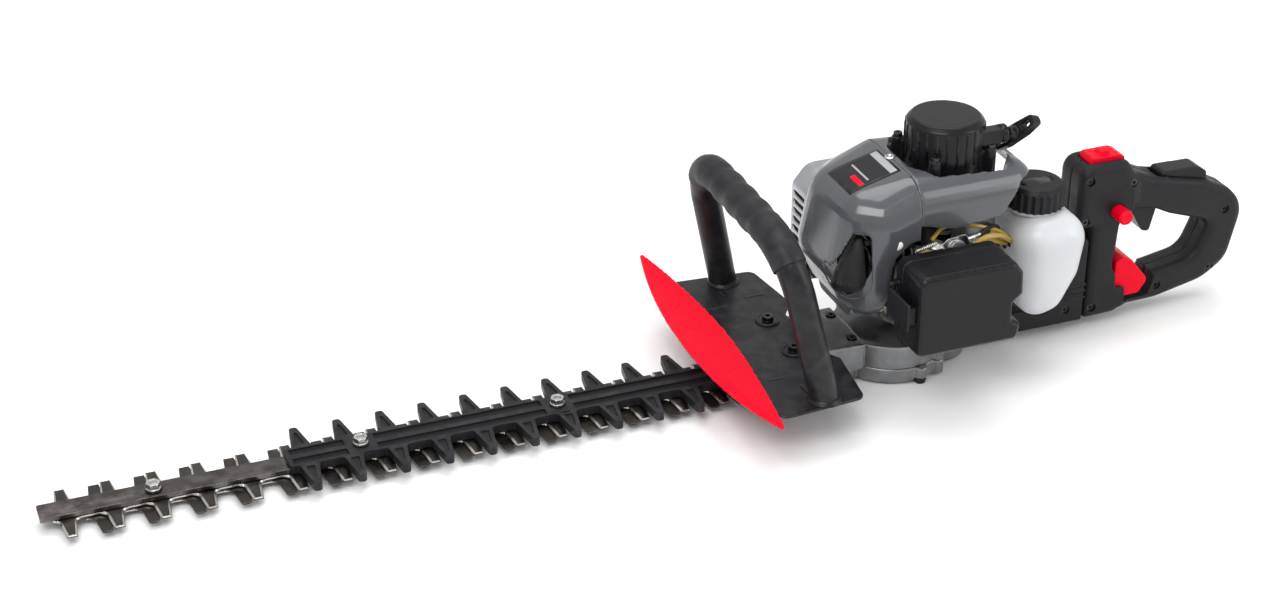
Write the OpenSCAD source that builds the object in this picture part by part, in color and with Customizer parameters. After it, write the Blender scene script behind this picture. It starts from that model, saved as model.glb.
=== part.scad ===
// Petrol hedge trimmer, double-sided, with a swivelling rear handle.
// +Z is up, the cutter points along -X and the operator's left side faces -Y.
// The origin is the centre of the bounding box, on the ground.

/* [Cutter] */
// Distance from the nose of the guide bar to the back of the rear handle
overall_length = 1036; // [1034:1038]
// Distance between neighbouring teeth on one side
tooth_pitch = 35; // [34.8:0.1:35.2]
// Number of cutting teeth on each side of the upper blade
blade_teeth = 16; // [14:16]
// Half of the distance between the tips of opposite cutting teeth
blade_reach = 33; // [31:34]
// Thickness of each cutting blade
blade_t = 2.2; // [2:0.1:2.3]
// Half of the distance between the tips of opposite guard teeth
guard_reach = 42; // [40:44]
// Thickness of the guide bar
bar_t = 4; // [3.5:0.1:4]
// Width of the guide bar
bar_w = 20; // [18:21]
// Travel of each blade to either side of its middle position
half_stroke = 8.75; // [8:0.25:9]

/* [Front handle and guards] */
// Outer diameter of the front handle tube
tube_d = 24; // [23:24]
// Distance between the two legs of the front handle at the plate
leg_spacing = 206; // [200:208]
// Height of the middle of the handle tube above the ground
handle_top_z = 171; // [170:176]
// Width of the handle plate
plate_w = 236; // [230:240]
// Tip-to-tip width of the hand shield
shield_w = 300; // [296:304]

/* [Engine] */
// Height of the cylinder axis above the ground
bore_z = 92; // [91:93]
// Diameter of the cylinder bore
bore_d = 34; // [32:34]
// Outer diameter of the recoil starter
starter_d = 64; // [62:65]
// Height of the top of the recoil starter
starter_top = 218; // [216:219]
// Height of the top of the engine shroud
shroud_top = 188; // [187:189]
// Width of the engine shroud
shroud_w = 118; // [116:120]

/* [Gears] */
// Tooth module of the reduction gears
gear_module = 1.5; // [1.4:0.05:1.5]
// Diameter of the eccentrics that drive the blades
eccentric_d = 20; // [18:20]

/* [Fuel and air] */
// Diameter of the fuel cap
cap_d = 50; // [48:51]
// Width of the air filter box
airbox_w = 92; // [90:94]
// Height of the air filter box
airbox_h = 71; // [69:72]

/* [Rear handle] */
// Thickness of the rear handle from side to side
handle_t = 40; // [38:42]
// Wall thickness of the moulded shells
wall = 2.5; // [2.2:0.1:2.8]
// Height of the swivel axis of the rear handle
swivel_z = 50; // [49:51]

/* [Hidden] */
$fn = 48;
gap = 0.3;                                   // clearance between bodies that move past each other
fit = 0.05;                                  // radial clearance of a running fit
end_x = overall_length / 2;
guard_x = 205 - end_x;                       // middle of the first guard tooth
bolt_x = [for (i = [0:2]) guard_x - 118 + 162.5 * i];
bolt_head_t = 4;
lower_z = 5;                                 // underside of the lower blade
upper_z = lower_z + blade_t + gap;
bar_z = upper_z + blade_t + gap;
bar_top = bar_z + bar_t;
guard_top = 18;
gear_teeth = 44;
pinion_teeth = 11;
gear_x = 187.75;                             // axis of the drive gear
crank_x = gear_x + gear_module * (gear_teeth + pinion_teeth) / 2;
case_r = 47;
case_split = 15;
case_top = 36;
dome_h = 8;                                  // rise of the lid over the drive gear
plate_top = 41;
plate_t = 2.5;
eccentric_r = eccentric_d / 2;
eye_r = eccentric_r + 2 * half_stroke + 0.5; // opening in the blade eyes
leg_x = 81;
grip_x = 51.5;
starter_base = 168;

// ---- helpers -------------------------------------------------------------
function arc(cx, cy, r, a, b, n = 6) = [for (i = [0:n]) let (t = a + (b - a) * i / n) [cx + r * cos(t),
    cy + r * sin(t)]];
function unit(v) = v / norm(v);
// Points of the round that replaces corner q between p and s
function fillet(p, q, s, r, n) = let (
        u = unit(p - q), v = unit(s - q), half = acos(u * v) / 2,
        m = q + unit(u + v) * r / sin(half),
        d = r / tan(half), a = q + u * d - m, b = q + v * d - m,
        t0 = atan2(a.y, a.x), turn = (atan2(b.y, b.x) - t0 + 900) % 360 - 180)
    [for (i = [0:n]) m + r * [cos(t0 + turn * i / n), sin(t0 + turn * i / n)]];
// Outline whose corners [x, y, radius] are rounded
function rounded(c, n = 5) = let (k = len(c), f = [for (q = c) [q.x, q.y]])
    [for (i = [0:k - 1]) each (c[i].z > 0 ? fillet(f[(i + k - 1) % k], f[i], f[(i + 1) % k],
        c[i].z, n) : [f[i]])];
// The same outline moved inwards by d (corners listed anticlockwise)
function inset(c, d) = let (k = len(c)) [for (i = [0:k - 1]) let (
        p = [c[i].x, c[i].y], u = unit(p - [c[(i + k - 1) % k].x, c[(i + k - 1) % k].y]),
        v = unit([c[(i + 1) % k].x, c[(i + 1) % k].y] - p),
        m = unit([-u.y - v.y, u.x + v.x]), s = d / max(0.4, m * [-v.y, v.x]),
        convex = u.x * v.y - u.y * v.x > 0)
    [p.x + m.x * s, p.y + m.y * s, max(0.3, c[i].z + (convex ? -d : d))]];
function box_outline(w, h, r) = rounded([[-w / 2, -h / 2, r], [w / 2, -h / 2, r], [w / 2, h / 2, r],
    [-w / 2, h / 2, r]]);
module at(x, y, z) translate([x, y, z]) children();
module slab(c, z0, z1, n = 5) translate([0, 0, z0]) linear_extrude(z1 - z0) polygon(rounded(c, n));
// Extrusion along Y of an outline given in X and Z
module side_slab(c, y0, y1, n = 5) translate([0, y1, 0]) rotate([90, 0, 0]) linear_extrude(y1 - y0)
    polygon(rounded(c, n));
module rod(r, z0, z1) translate([0, 0, z0]) cylinder(r = r, h = z1 - z0);
module ring(r, bore, z0, z1) difference() {
    rod(r, z0, z1);
    rod(bore, z0 - 1, z1 + 1);
}
module along_x() rotate([0, 90, 0]) children();
module along_y() rotate([-90, 0, 0]) children();
module hexagon(af, z0, z1) translate([0, 0, z0]) cylinder(d = af / cos(30), h = z1 - z0, $fn = 6);
// Socket-head screw, its head resting at z = 0 and its shank pointing down
module screw(d, l, head_d = 0, head_h = 0) difference() {
    union() {
        rod((head_d > 0 ? head_d : d * 1.8) / 2, 0, head_h > 0 ? head_h : d * 0.9);
        rod(d / 2, -l, 0);
    }
    hexagon(d * 0.75, d * 0.3, d * 2);
}

// ---- cutter --------------------------------------------------------------
module guide_bar() color("#2c2a2c") difference() {
    slab([[-end_x, -bar_w / 2, 1.5], [140, -bar_w / 2, 1.5], [140, bar_w / 2, 1.5],
        [-end_x, bar_w / 2, 1.5]], bar_z, bar_top);
    for (x = bolt_x) at(x, 0, 0) rod(3.1, 0, 30);
    for (x = [75, 125]) at(x, 0, 0) rod(3.1, 0, 30);
}

// Right-hand edge of one cutting tooth and the gullet after it, from root to root
function tooth_edge(x) = rounded([
    [x - 11, 10, 0], [x - 6.5, 13, 3], [x - 4, blade_reach, 0.6], [x + 4, blade_reach, 0.6],
        [x + 6.5, 13, 3], [x + 11, 10, 0]], 3);
module blade(first, x0, z0, slot_shift) {
    row = [for (i = [first:blade_teeth - 1]) x0 + tooth_pitch * i];
    front = first == 0 ? row[0] - 14 : row[0] - 17;
    edge = concat([[front, 4], [front + 5, 10]], [for (x = row) each tooth_edge(x)], [[60, 10]]);
    back = [for (i = [len(edge) - 1:-1:0]) [edge[i].x, -edge[i].y]];
    eye_x = gear_x - slot_shift;
    difference() {
        at(0, 0, z0) linear_extrude(blade_t) difference() {
            union() {
                polygon(concat(back, edge));
                translate([55, -10]) square([eye_x - 55 - eye_r, 20]);
                translate([eye_x, 0]) circle(r = eye_r + 5.5);
            }
            translate([eye_x, 0]) circle(r = eye_r);
        }
        for (x = bolt_x) at(x - slot_shift, 0, z0 - 1) linear_extrude(blade_t + 2)
            polygon(box_outline(2 * half_stroke + 9, 9, 4.4));
    }
}
// Each blade lies a little off the middle of its stroke
rest_shift = 4.6;
blade_x = guard_x + 20.6 - 6 * tooth_pitch;
module upper_blade() color("#4a4542") blade(0, blade_x + rest_shift, upper_z, -rest_shift);
module lower_blade() color("#3a3836") blade(1, blade_x - rest_shift, lower_z, rest_shift);

// Guard of moulded plastic that straddles the bar, with one fixed tooth each pitch
guard_teeth = 11;
function guard_edge(x) = rounded([
    [x - 14, 13, 0], [x - 7.5, 13, 3], [x - 3, guard_reach, 2.6], [x + 3, guard_reach, 2.6],
        [x + 8, 13.5, 4], [x + 15, 13, 0]], 4);
module guard_outline(side) {
    edge = concat([[guard_x - 15, 0]], [for (i = [0:guard_teeth - 1])
        each guard_edge(guard_x + tooth_pitch * i)],
        [[54, 13], [54, 0]]);
    polygon([for (p = edge) [p.x, side * p.y]]);
}
module guard_pocket(x) polygon(rounded([[x - 3.4, 16.5, 1], [x + 3.6, 16.5, 1],
    [x + 1, guard_reach - 8, 0.8], [x - 1, guard_reach - 8, 0.8]], 2));
module tooth_guard() color("#29272b") difference() {
    at(0, 0, bar_z + 0.3) linear_extrude(guard_top - bar_z - 0.3) union() {
        guard_outline(1);
        guard_outline(-1);
    }
    at(guard_x - 20, -bar_w / 2, 0) cube([400, bar_w, bar_top]);
    // two long channels beside the middle rib, left out around the bolts
    for (s = [-1, 1], k = [0:2]) {
        x0 = k == 0 ? guard_x - 11 : bolt_x[k] + 12;
        x1 = k == 2 ? 48 : bolt_x[k + 1] - 12;
        slab([[x0, s > 0 ? 2.6 : -11, 1], [x1, s > 0 ? 2.6 : -11, 1], [x1, s > 0 ? 11 : -2.6, 1],
            [x0, s > 0 ? 11 : -2.6, 1]], guard_top - 2.2, guard_top + 1, 2);
    }
    for (s = [0, 1], i = [0:guard_teeth - 1]) mirror([0, s, 0])
        at(0, 0, guard_top - 1.6) linear_extrude(3) guard_pocket(guard_x + tooth_pitch * i);
    for (x = bolt_x) at(x, 0, 0) rod(3.1, 0, 30);
    for (s = [0, 1], x = bolt_x) mirror([0, s, 0]) at(x + 3, 13.2, guard_top - 1) cube([6, 1.5, 3],
        center = true);
}
function bolt_seat(k) = k == 0 ? bar_top : guard_top;
module blade_bolts() color("#8d8f92") for (k = [0:2]) at(bolt_x[k], 0, 0) {
    rod(6.5, 0.2, lower_z - gap);
    rod(2.9, lower_z - gap - 0.1, bolt_seat(k) + 6.6);
}
module blade_bushes() color("#9a9c9e") for (x = bolt_x) at(x, 0, 0) ring(4, 2.95, lower_z - gap, bar_z);
module blade_washers() color("#1c1b1d") for (k = [0:2]) at(bolt_x[k],
    0, 0) ring(6.6, 3, bolt_seat(k), bolt_seat(k) + 1.2);
module blade_nuts() color("#c9cbcd") for (k = [0:2]) at(bolt_x[k], 0, bolt_seat(k) + 1.2) difference() {
    union() {
        ring(5.9, 2.9, 0, 1);
        intersection() {
            hexagon(10, 0.9, 5.4);
            at(0, 0, 0.9) cylinder(r1 = 7.6, r2 = 5, h = 5);
        }
    }
    rod(2.95, -1, 8);
}

// ---- gear case -----------------------------------------------------------
lug_angles = [62, 118, 205, 155, 305];
foot_xy = [[196, 46], [196, -46]];
module case_outline(r) union() {
    translate([gear_x, 0]) circle(r = r);
    translate([crank_x, 0]) circle(r = r - 19);
}
module case_lugs(r) for (a = lug_angles) translate([gear_x + (case_r + 1) * cos(a), (case_r + 1)
    * sin(a)]) circle(r = r);
module gear_case_lower() color("#a9abac") difference() {
    union() {
        at(0, 0, 2) linear_extrude(case_split - 2) union() {
            case_outline(case_r);
            case_lugs(5);
        }
        for (p = foot_xy) at(p.x, p.y, 5) rod(5.5, 0, 10);
    }
    at(gear_x, 0, 0) rod(case_r - 3.2, 4.6, 20);
    at(gear_x, 0, 0) rod(6, -1, 5);
    at(100, -18, 4.6) cube([80, 36, 6]);
    at(100, -10.5, 4.6) cube([80, 21, 20]);
    for (a = lug_angles) at(gear_x + (case_r + 1) * cos(a), (case_r + 1) * sin(a), 0) rod(2.1, 4, 20);
    for (p = foot_xy) at(p.x, p.y, 0) {
        rod(3, 0, 10);
        rod(5.8, -1, 5);
    }
}
tongue = [[60, -31, 6], [150, -34, 1], [150, 34, 1], [60, 31, 6]];
module gear_case_upper() color("#b3b5b6") difference() {
    union() {
        at(0, 0, case_split) linear_extrude(case_top - case_split) union() {
            case_outline(case_r);
            case_lugs(5);
        }
        slab(tongue, case_split, plate_top - plate_t);
        slab([for (q = tongue) [min(q.x, 139), q.y, q.z]], bar_top, case_split + 1);
        difference() {
            at(gear_x, 0, case_top) union() {
                cylinder(r1 = 40, r2 = 15, h = dome_h);
                cylinder(r = 11, h = dome_h + 2.5);
            }
            at(crank_x, 0, 0) rod(33.1, case_top, 60);
        }
    }
    at(gear_x, 0, 0) rod(36, case_split - 1, 26);
    at(gear_x, 0, 0) rod(11, 25, 32);
    at(gear_x, 0, 0) rod(5.6, 25, 34);
    at(crank_x, 0, 0) rod(11.5, case_split - 1, 26);
    at(crank_x, 0, 0) rod(11, 25, 40);
    at(70, -24, case_split - 1) cube([62, 12, 18]);
    at(70, 12, case_split - 1) cube([62, 12, 18]);
    for (x = [75, 125]) at(x, 0, 0) rod(2.9, 10, 30);
    for (y = [-26.5, 26.5]) at(89, y, 0) rod(2.6, 20, 50);
    for (a = lug_angles) at(gear_x + (case_r + 1) * cos(a), (case_r + 1) * sin(a), 0) {
        rod(2.1, 10, 40);
        rod(4.4, case_top, 45);
    }
}
module gear_case_screws() color("#6f7173") {
    for (a = lug_angles) at(gear_x + (case_r + 1) * cos(a), (case_r + 1) * sin(a), case_top) screw(4, 30,
        7.6, 3.4);
    for (x = [75, 125]) at(x, 0, 0) rod(2.8, bar_z, bar_z + 14);
}
// Spur gear whose teeth have generous backlash: angles of the flanks in pitches
tooth_flanks = [-0.25, -0.09, 0.09, 0.25];
module spur(n, z0, z1) at(0, 0, z0) linear_extrude(z1 - z0) polygon([for (i = [0:n - 1], k = [0:3])
    let (r = gear_module * n / 2, a = 360 * (i + tooth_flanks[k]) / n, q = (k == 0 || k == 3)
        ? r - 1.7 : r + 0.9)
    [q * cos(a), q * sin(a)]]);
module drive_gear() color("#8f9295") at(gear_x, 0, 0) {
    difference() {
        spur(gear_teeth, 17, 24);
        rod(4.8, 16, 25);
        for (a = [0:60:300]) rotate(a) at(19, 0, 0) rod(5, 16, 25);
    }
    rod(4.8, 2.4, 32);
}
module eccentrics() color("#77797b") at(gear_x, 0, 0) rotate(-asin(rest_shift / half_stroke)) {
    for (s = [-1, 1]) difference() {
        at(0, s * half_stroke, 0) rod(eccentric_r, s > 0 ? upper_z : lower_z, (s > 0 ? upper_z : lower_z)
            + blade_t);
        rod(4.8, 0, 20);
    }
}
module clutch_drum() color("#84878a") at(crank_x, 0, 0) {
    difference() {
        spur(pinion_teeth, 16.5, 24.5);
        rod(4.5, 16, 25);
    }
    rod(4.5, 16.5, 44);
    ring(27, 4.5, 42, 44);
    ring(27, 24.8, 44, 60);
}
module clutch_housing() color("#a3a5a6") at(crank_x, 0, 0) difference() {
    rod(33, case_top, 66);
    rod(30, 40, 67);
    rod(12, 30, 41);
}
module clutch_shoes() color("#6b6560") at(crank_x, 0, 0) {
    for (a = [0, 180]) rotate(a) difference() {
        rod(23.6, 47, 58);
        rod(9.5, 46, 59);
        at(-30, -30, 46) cube([60, 32, 14]);
        at(0, 16, 46) rod(3.2, 0, 14);
    }
    difference() {
        rotate_extrude() translate([14.5, 60]) circle(d = 2, $fn = 16);
        at(-30, -1, 50) cube([30, 2, 20]);
    }
}
module rubber_feet() color("#1d1c1e") for (p = foot_xy) at(p.x, p.y, 0) {
    cylinder(r1 = 4.6, r2 = 5.4, h = 5);
    rod(2.9, 5, 9);
}

// ---- front handle and guards ----------------------------------------------
plate_edge = [[37, -plate_w / 2, 8], [112, -plate_w / 2 + 6, 8], [120, -50, 4], [108, -32, 3], [108, 32, 3],
    [120, 50, 4], [112, plate_w / 2 - 6, 8], [37, plate_w / 2, 8]];
module handle_plate() color("#242126") difference() {
    slab(plate_edge, plate_top - plate_t, plate_top);
    for (y = [-26.5, 26.5]) at(89, y, 0) rod(2.9, 20, 50);
    for (y = [-1, 1]) at(leg_x, y * leg_spacing / 2, 0) rod(3, 20, 50);
}
module plate_screws() color("#161518") {
    for (y = [-26.5, 26.5]) at(89, y, plate_top) {
        ring(8, 3.2, 0, 1.4);
        at(0, 0, 1.4) screw(5, 20, 9.5, 4);
    }
    for (y = [-1, 1]) at(leg_x, y * leg_spacing / 2, plate_top - plate_t) mirror([0, 0, 1]) screw(5.6,
        16, 10, 4);
}
// Middle line of the front handle: legs lean forwards and inwards, joined by round corners
corner_y = 96;                               // half width of the handle below its corners
corner_r = 46;
bar_rise = handle_top_z - plate_top;
function leaning(list) = [for (p = list) [leg_x - (leg_x - grip_x) / bar_rise * p.y, p.x, plate_top + p.y]];
function corner(side, a, b, n) = arc(side * (corner_y - corner_r), bar_rise - corner_r, corner_r, a, b, n);
handle_line = leaning(concat([[-leg_spacing / 2, 0]], corner(-1, 180, 90, 9), corner(1, 90, 0, 9),
    [[leg_spacing / 2, 0]]));
// Tube of radius r swept along the points of a line, its first and last rings square to z
function sweep_dir(l, i) = unit(l[min(i + 1, len(l) - 1)] - l[max(i - 1, 0)]);
module sweep(l, r, n = 24, flat_ends = false, side = [1, 0, 0]) {
    rings = [for (i = [0:len(l) - 1]) let (
            d = flat_ends && (i == 0 || i == len(l) - 1) ? [0, 0, i == 0 ? 1 : -1] : sweep_dir(l, i),
            u = unit(side - (side * d) * d), v = cross(d, u), q = is_list(r) ? r[i] : r)
        for (k = [0:n - 1]) l[i] + q * (cos(360 * k / n) * u + sin(360 * k / n) * v)];
    last = len(l) - 1;
    polyhedron(rings, concat([[for (k = [0:n - 1]) k]], [[for (k = [n - 1:-1:0]) last * n + k]],
        [for (i = [0:last - 1], k = [0:n - 1]) let (a = i * n + k, b = i * n + (k + 1) % n) each [[b, a,
            a + n], [b, a + n, b + n]]]), convexity = 8);
}
module front_handle() color("#2a282b") difference() {
    sweep(handle_line, tube_d / 2, 24, true);
    for (y = [-1, 1]) at(leg_x, y * leg_spacing / 2, plate_top) rod(2.8, -1, 15);
}
// Soft sleeve with finger bumps that follows the handle into both corners
sleeve_y = [for (i = [0:22]) -47 + 94 * i / 22];
sleeve_line = leaning(concat(corner(-1, 140, 90, 5), [for (y = sleeve_y) [y, bar_rise]],
    corner(1, 90, 40, 5)));
module front_grip() color("#313034") difference() {
    sweep(sleeve_line, [for (p = sleeve_line) tube_d / 2 + 1.8 + (abs(p.y)
        < 48 ? 0.6 * cos(p.y * 360 / 26) : 0)]);
    sweep(handle_line, tube_d / 2 + 0.12);
}
// Lens-shaped shield that rises towards the handle
shield_tip = [24, 52];
shield_front = [7, 43];
shield_back = [37, 55];
function shield_low(t) = [shield_tip.x + (shield_front.x - shield_tip.x) * (1 - pow(abs(t), 2.2)) - 1.5,
    shield_tip.y + (shield_front.y - shield_tip.y) * (1 - pow(abs(t), 2.2))];
function shield_high(t) = [shield_tip.x + (shield_back.x - shield_tip.x) * (1 - pow(abs(t), 1.5)) + 1.5,
    shield_tip.y + (shield_back.y - shield_tip.y) * (1 - pow(abs(t), 4))];
// One row of points across the shield, from its front edge to its rear edge
function shield_row(t, lift) = [for (k = [0:6]) let (
        s = k / 6, q = shield_low(t) * (1 - s) + shield_high(t) * s,
        dip = 3 * (1 - pow(abs(t), 2.2)) * sin(180 * s))
    [q.x, t * shield_w / 2, q.y + lift - dip]];
shield_n = 28;
shield_m = 7;
function shield_i(i, k, layer) = layer * (shield_n + 1) * shield_m + i * shield_m + k;
// Four-sided face between steps i..i+di and k..k+dk
function shield_face(i, k, a, b, c, d) = [for (q = [a, b, c, d]) shield_i(i + q[0], k + q[1], q[2])];
module shield_skin() {
    rows = [for (lift = [0, 3], i = [0:shield_n]) each shield_row(-1 + 2 * i / shield_n, lift)];
    last_k = shield_m - 1;
    quads = concat(
        [for (i = [0:shield_n - 1], k = [0:last_k - 1]) shield_face(i, k, [0, 0, 0], [0, 1, 0],
            [1, 1, 0], [1, 0, 0])],
        [for (i = [0:shield_n - 1], k = [0:last_k - 1]) shield_face(i, k, [0, 0, 1], [1, 0, 1],
            [1, 1, 1], [0, 1, 1])],
        [for (i = [0:shield_n - 1]) shield_face(i, 0, [0, 0, 0], [1, 0, 0], [1, 0, 1], [0, 0, 1])],
        [for (i = [0:shield_n - 1]) shield_face(i, last_k, [0, 0, 1], [1, 0, 1], [1, 0, 0], [0, 0, 0])],
        [for (k = [0:last_k - 1]) shield_face(0, k, [0, 0, 0], [0, 0, 1], [0, 1, 1], [0, 1, 0])],
        [for (k = [0:last_k - 1]) shield_face(shield_n, k, [0, 0, 0], [0, 1, 0], [0, 1, 1], [0, 0, 1])]);
    polyhedron(rows, [for (f = quads) each [[f[0], f[1], f[2]], [f[0], f[2], f[3]]]], convexity = 6);
}
module hand_shield() color("#f0002f") union() {
    shield_skin();
    for (y = [-40, 40]) side_slab([[38, plate_top, 1], [46, plate_top, 1], [38, 55.5, 1], [31, 53.5, 1]],
        y - 2, y + 2);
}

// ---- engine --------------------------------------------------------------
case_r2 = 30;                                // crankcase
throw = 14;                                  // crank throw, half of the piston stroke
web_low = [bore_z - 16, bore_z - 8];
web_high = [bore_z + 8, bore_z + 16];
piston_x = crank_x - throw - 52;             // wrist pin at top dead centre
intake = [184, 98];
exhaust = [164, 96];
module crankcase() color("#a6a8a9") difference() {
    union() {
        at(crank_x, 0, 0) rod(case_r2, 66, 122);
        at(crank_x, 0, 0) rod(33, 66, 70);
        at(crank_x - case_r2, -26, 66.5) cube([20, 52, 51]);
        at(crank_x, 0, 0) rod(46, 122, 124);
        difference() {
            at(crank_x, 0, 0) ring(46, 43.5, 122, 149);
            at(crank_x - 100, -60, 124.1) cube([88, 120, 30]);
        }
    }
    at(crank_x, 0, 0) rod(25, 74.5, 109.5);
    at(crank_x, 0, 0) rod(13, 65, 75);
    at(crank_x, 0, 0) rod(13, 109, 119);
    at(crank_x, 0, 0) rod(7, 118, 130);
    at(crank_x - 40, 0, bore_z) along_x() rod(bore_d / 2 + 1, 0, 40);
}
module crankshaft() color("#8b8e90") at(crank_x, 0, 0) {
    rod(9, 46, 58.5);
    rod(6, 58, web_low[0] + 1);
    rod(22, web_low[0], web_low[1]);
    rod(22, web_high[0], web_high[1]);
    rod(6, web_high[1] - 1, 160);
    rod(10, 150, 166);
}
module bearings() color("#9b9da0") {
    at(gear_x, 0, 0) ring(6, 4.85, 2.2, 4.6);
    at(gear_x, 0, 0) ring(11, 4.85, 26.2, 31.8);
    at(crank_x, 0, 0) ring(11, 4.55, 26.2, 34);
    at(crank_x, 0, 0) ring(13, 6.05, 66.3, 74.3);
    at(crank_x, 0, 0) ring(13, 6.05, 109.8, 117.8);
}
module connecting_rod() color("#7d8082") {
    at(crank_x - throw, 0, 0) ring(9, 4.9, bore_z - 6, bore_z + 6);
    at(crank_x - throw, 0, 0) rod(5, web_low[1] + gap, web_high[0] - gap);
    difference() {
        union() {
            at(piston_x, 0, bore_z) along_y() rod(7, -6, 6);
            at(piston_x + 4, -3, bore_z - 5) cube([52 - 12.5, 6, 10]);
        }
        at(piston_x, 0, bore_z) along_y() rod(4.05, -8, 8);
    }
}
module piston() color("#b9bbbd") at(piston_x, 0, bore_z) {
    difference() {
        along_x() rod(bore_d / 2 - fit, -13, 13);
        along_x() rod(bore_d / 2 - 3.5, -9, 14);
        along_y() rod(4, -20, 20);
    }
    along_y() rod(3.98, -14, 14);
}
module engine_cylinder() color("#8f9193") difference() {
    union() {
        at(0, 0, bore_z) along_x() rod(21, 134, crank_x - case_r2);
        for (x = [136:7.5:190]) at(x, 0, bore_z) along_x() linear_extrude(2.2) polygon(box_outline(58,
            62, 9));
        at(194, -25, 70.2) cube([crank_x - case_r2 - 194, 50, 46.8]);
        at(intake.x - 11, -34, intake.y - 9) cube([22, 20, 18]);
        at(exhaust.x - 11, 14, exhaust.y - 9) cube([22, 20, 18]);
    }
    at(0, 0, bore_z) along_x() rod(bore_d / 2, 148, 210);
    at(intake.x, -40, intake.y) along_y() rod(7, 0, 30);
    at(exhaust.x, 10, exhaust.y) along_y() rod(7, 0, 30);
    plug_frame() rod(5.1, -10, 40);
    plug_frame() rod(9, 17, 40);
}

plug_dir = unit([-0.55, -0.75, 0.37]);
module plug_frame() translate([146, -9, 97]) rotate([0, acos(plug_dir.z), atan2(plug_dir.y, plug_dir.x)])
    children();
module spark_plug() color("#d9d6cf") plug_frame() {
    rod(5, 2, 17);
    rod(1.3, -2, 3);
    hexagon(13, 17, 24);
    rod(4, 24, 36);
}
module plug_boot() color("#1f1e21") difference() {
    union() {
        plug_frame() rod(7, 26, 42);
        hull() {
            at(125.5, -43, 106) sphere(8.5, $fn = 20);
            at(135, -41, 135) sphere(5.5, $fn = 20);
        }
    }
    plug_frame() rod(7.7, 10, 24.2);
    plug_frame() rod(4.1, 20, 37);
}
module muffler() color("#77706a") difference() {
    union() {
        at(133, 36, 68) cube([45, 28, 60]);
        at(exhaust.x - 11, 34, exhaust.y - 9) cube([22, 2, 18]);
    }
    at(135, 38, 70) cube([41, 24, 56]);
    at(exhaust.x, 30, exhaust.y) along_y() rod(7, 0, 10);
    at(145, 50, 60) rod(4, 0, 20);
}
module muffler_cover() color("#a7aab0") difference() {
    side_slab([[129, 62, 10], [181, 62, 6], [181, 157, 6], [142, 157, 14], [129, 141, 10]], 44, 74);
    side_slab([[131.5, 64.5, 8], [178.5, 64.5, 4], [178.5, 154.5, 4], [143, 154.5, 12], [131.5, 140, 8]],
        40, 71.5);
    for (z = [84:8:132]) at(123, 49, z) cube([12, 20, 4]);
    for (z = [84:8:132]) at(142, 68, z) cube([30, 12, 4]);
}
module flywheel() color("#55575a") at(crank_x, 0, 0) difference() {
    union() {
        rod(12, 128, 148);
        rod(38, 128, 131);
        for (i = [0:13]) rotate(i * 360 / 14) at(14, -1, 130) cube([23, 2, 16]);
    }
    rod(6, 120, 150);
}
module ignition_coil() color("#3a3b3f") at(crank_x, 0, 0) rotate(215) difference() {
    union() {
        at(39, -18, 129) cube([17, 6, 16]);
        at(39, 12, 129) cube([17, 6, 16]);
        at(50, -18, 129) cube([7, 36, 16]);
        at(41, -12, 127) cube([9, 24, 20]);
    }
    rod(39, 120, 150);
}

// ---- recoil starter ------------------------------------------------------
rope_y = -20.5;
rope_z = 203;
boss_angles = [-128, -38, 52, 142];
module starter_housing() color("#1c1b1e") {
    difference() {
        union() {
            at(crank_x, 0, 0) rod(starter_d / 2, starter_base, starter_top - 4);
            at(crank_x, 0, starter_top - 4) cylinder(r1 = starter_d / 2, r2 = starter_d / 2 - 4, h = 4);
            at(crank_x, 0, 0) rod(37, starter_base, starter_base + 5);
            for (a = boss_angles) at(crank_x, 0, 0) rotate(a) {
                at(38, 0, 0) rod(5, starter_base + 1, 194);
                at(30.6, -4.2, starter_base + 1) cube([7.4, 8.4, 23]);
            }
            at(crank_x + 17, rope_y - 6, rope_z - 5.5) cube([23, 12, 11.5]);
            at(crank_x + 39, rope_y, rope_z) along_x() rod(8, 0, 5);
        }
        at(crank_x, 0, 0) rod(starter_d / 2 - wall, starter_base - 1, starter_top - 3);
        at(crank_x, rope_y, rope_z) along_x() rod(2.2, 0, 60);
        for (a = boss_angles) at(crank_x, 0, 0) rotate(a) at(38, 0, 0) rod(2.1, starter_base - 1, 200);
    }
    at(crank_x, 0, 0) rod(6 - fit, 192, starter_top - 2.5);
}
module starter_reel() color("#3c3d40") at(crank_x, 0, 0) difference() {
    union() {
        rod(25, 197, 200);
        rod(18.4, 199, 207);
        rod(25, 206, 208.5);
    }
    rod(6, 190, 215);
}
// Flat spiral spring above the reel
function coil_point(t, w) = let (r = 8 + 15 * t + w) [r * cos(1440 * t), r * sin(1440 * t)];
module recoil_spring() color("#7c7f82") at(crank_x, 0, 209) linear_extrude(4.5) polygon(concat(
    [for (i = [0:96]) coil_point(i / 96, 0)], [for (i = [96:-1:0]) coil_point(i / 96, 0.8)]));
t_grip = [[-24, -4, 3], [-10, -6.5, 4], [10, -6.5, 4], [24, -4, 3], [24, 5, 4], [0, 7, 6], [-24, 5, 4]];
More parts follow.
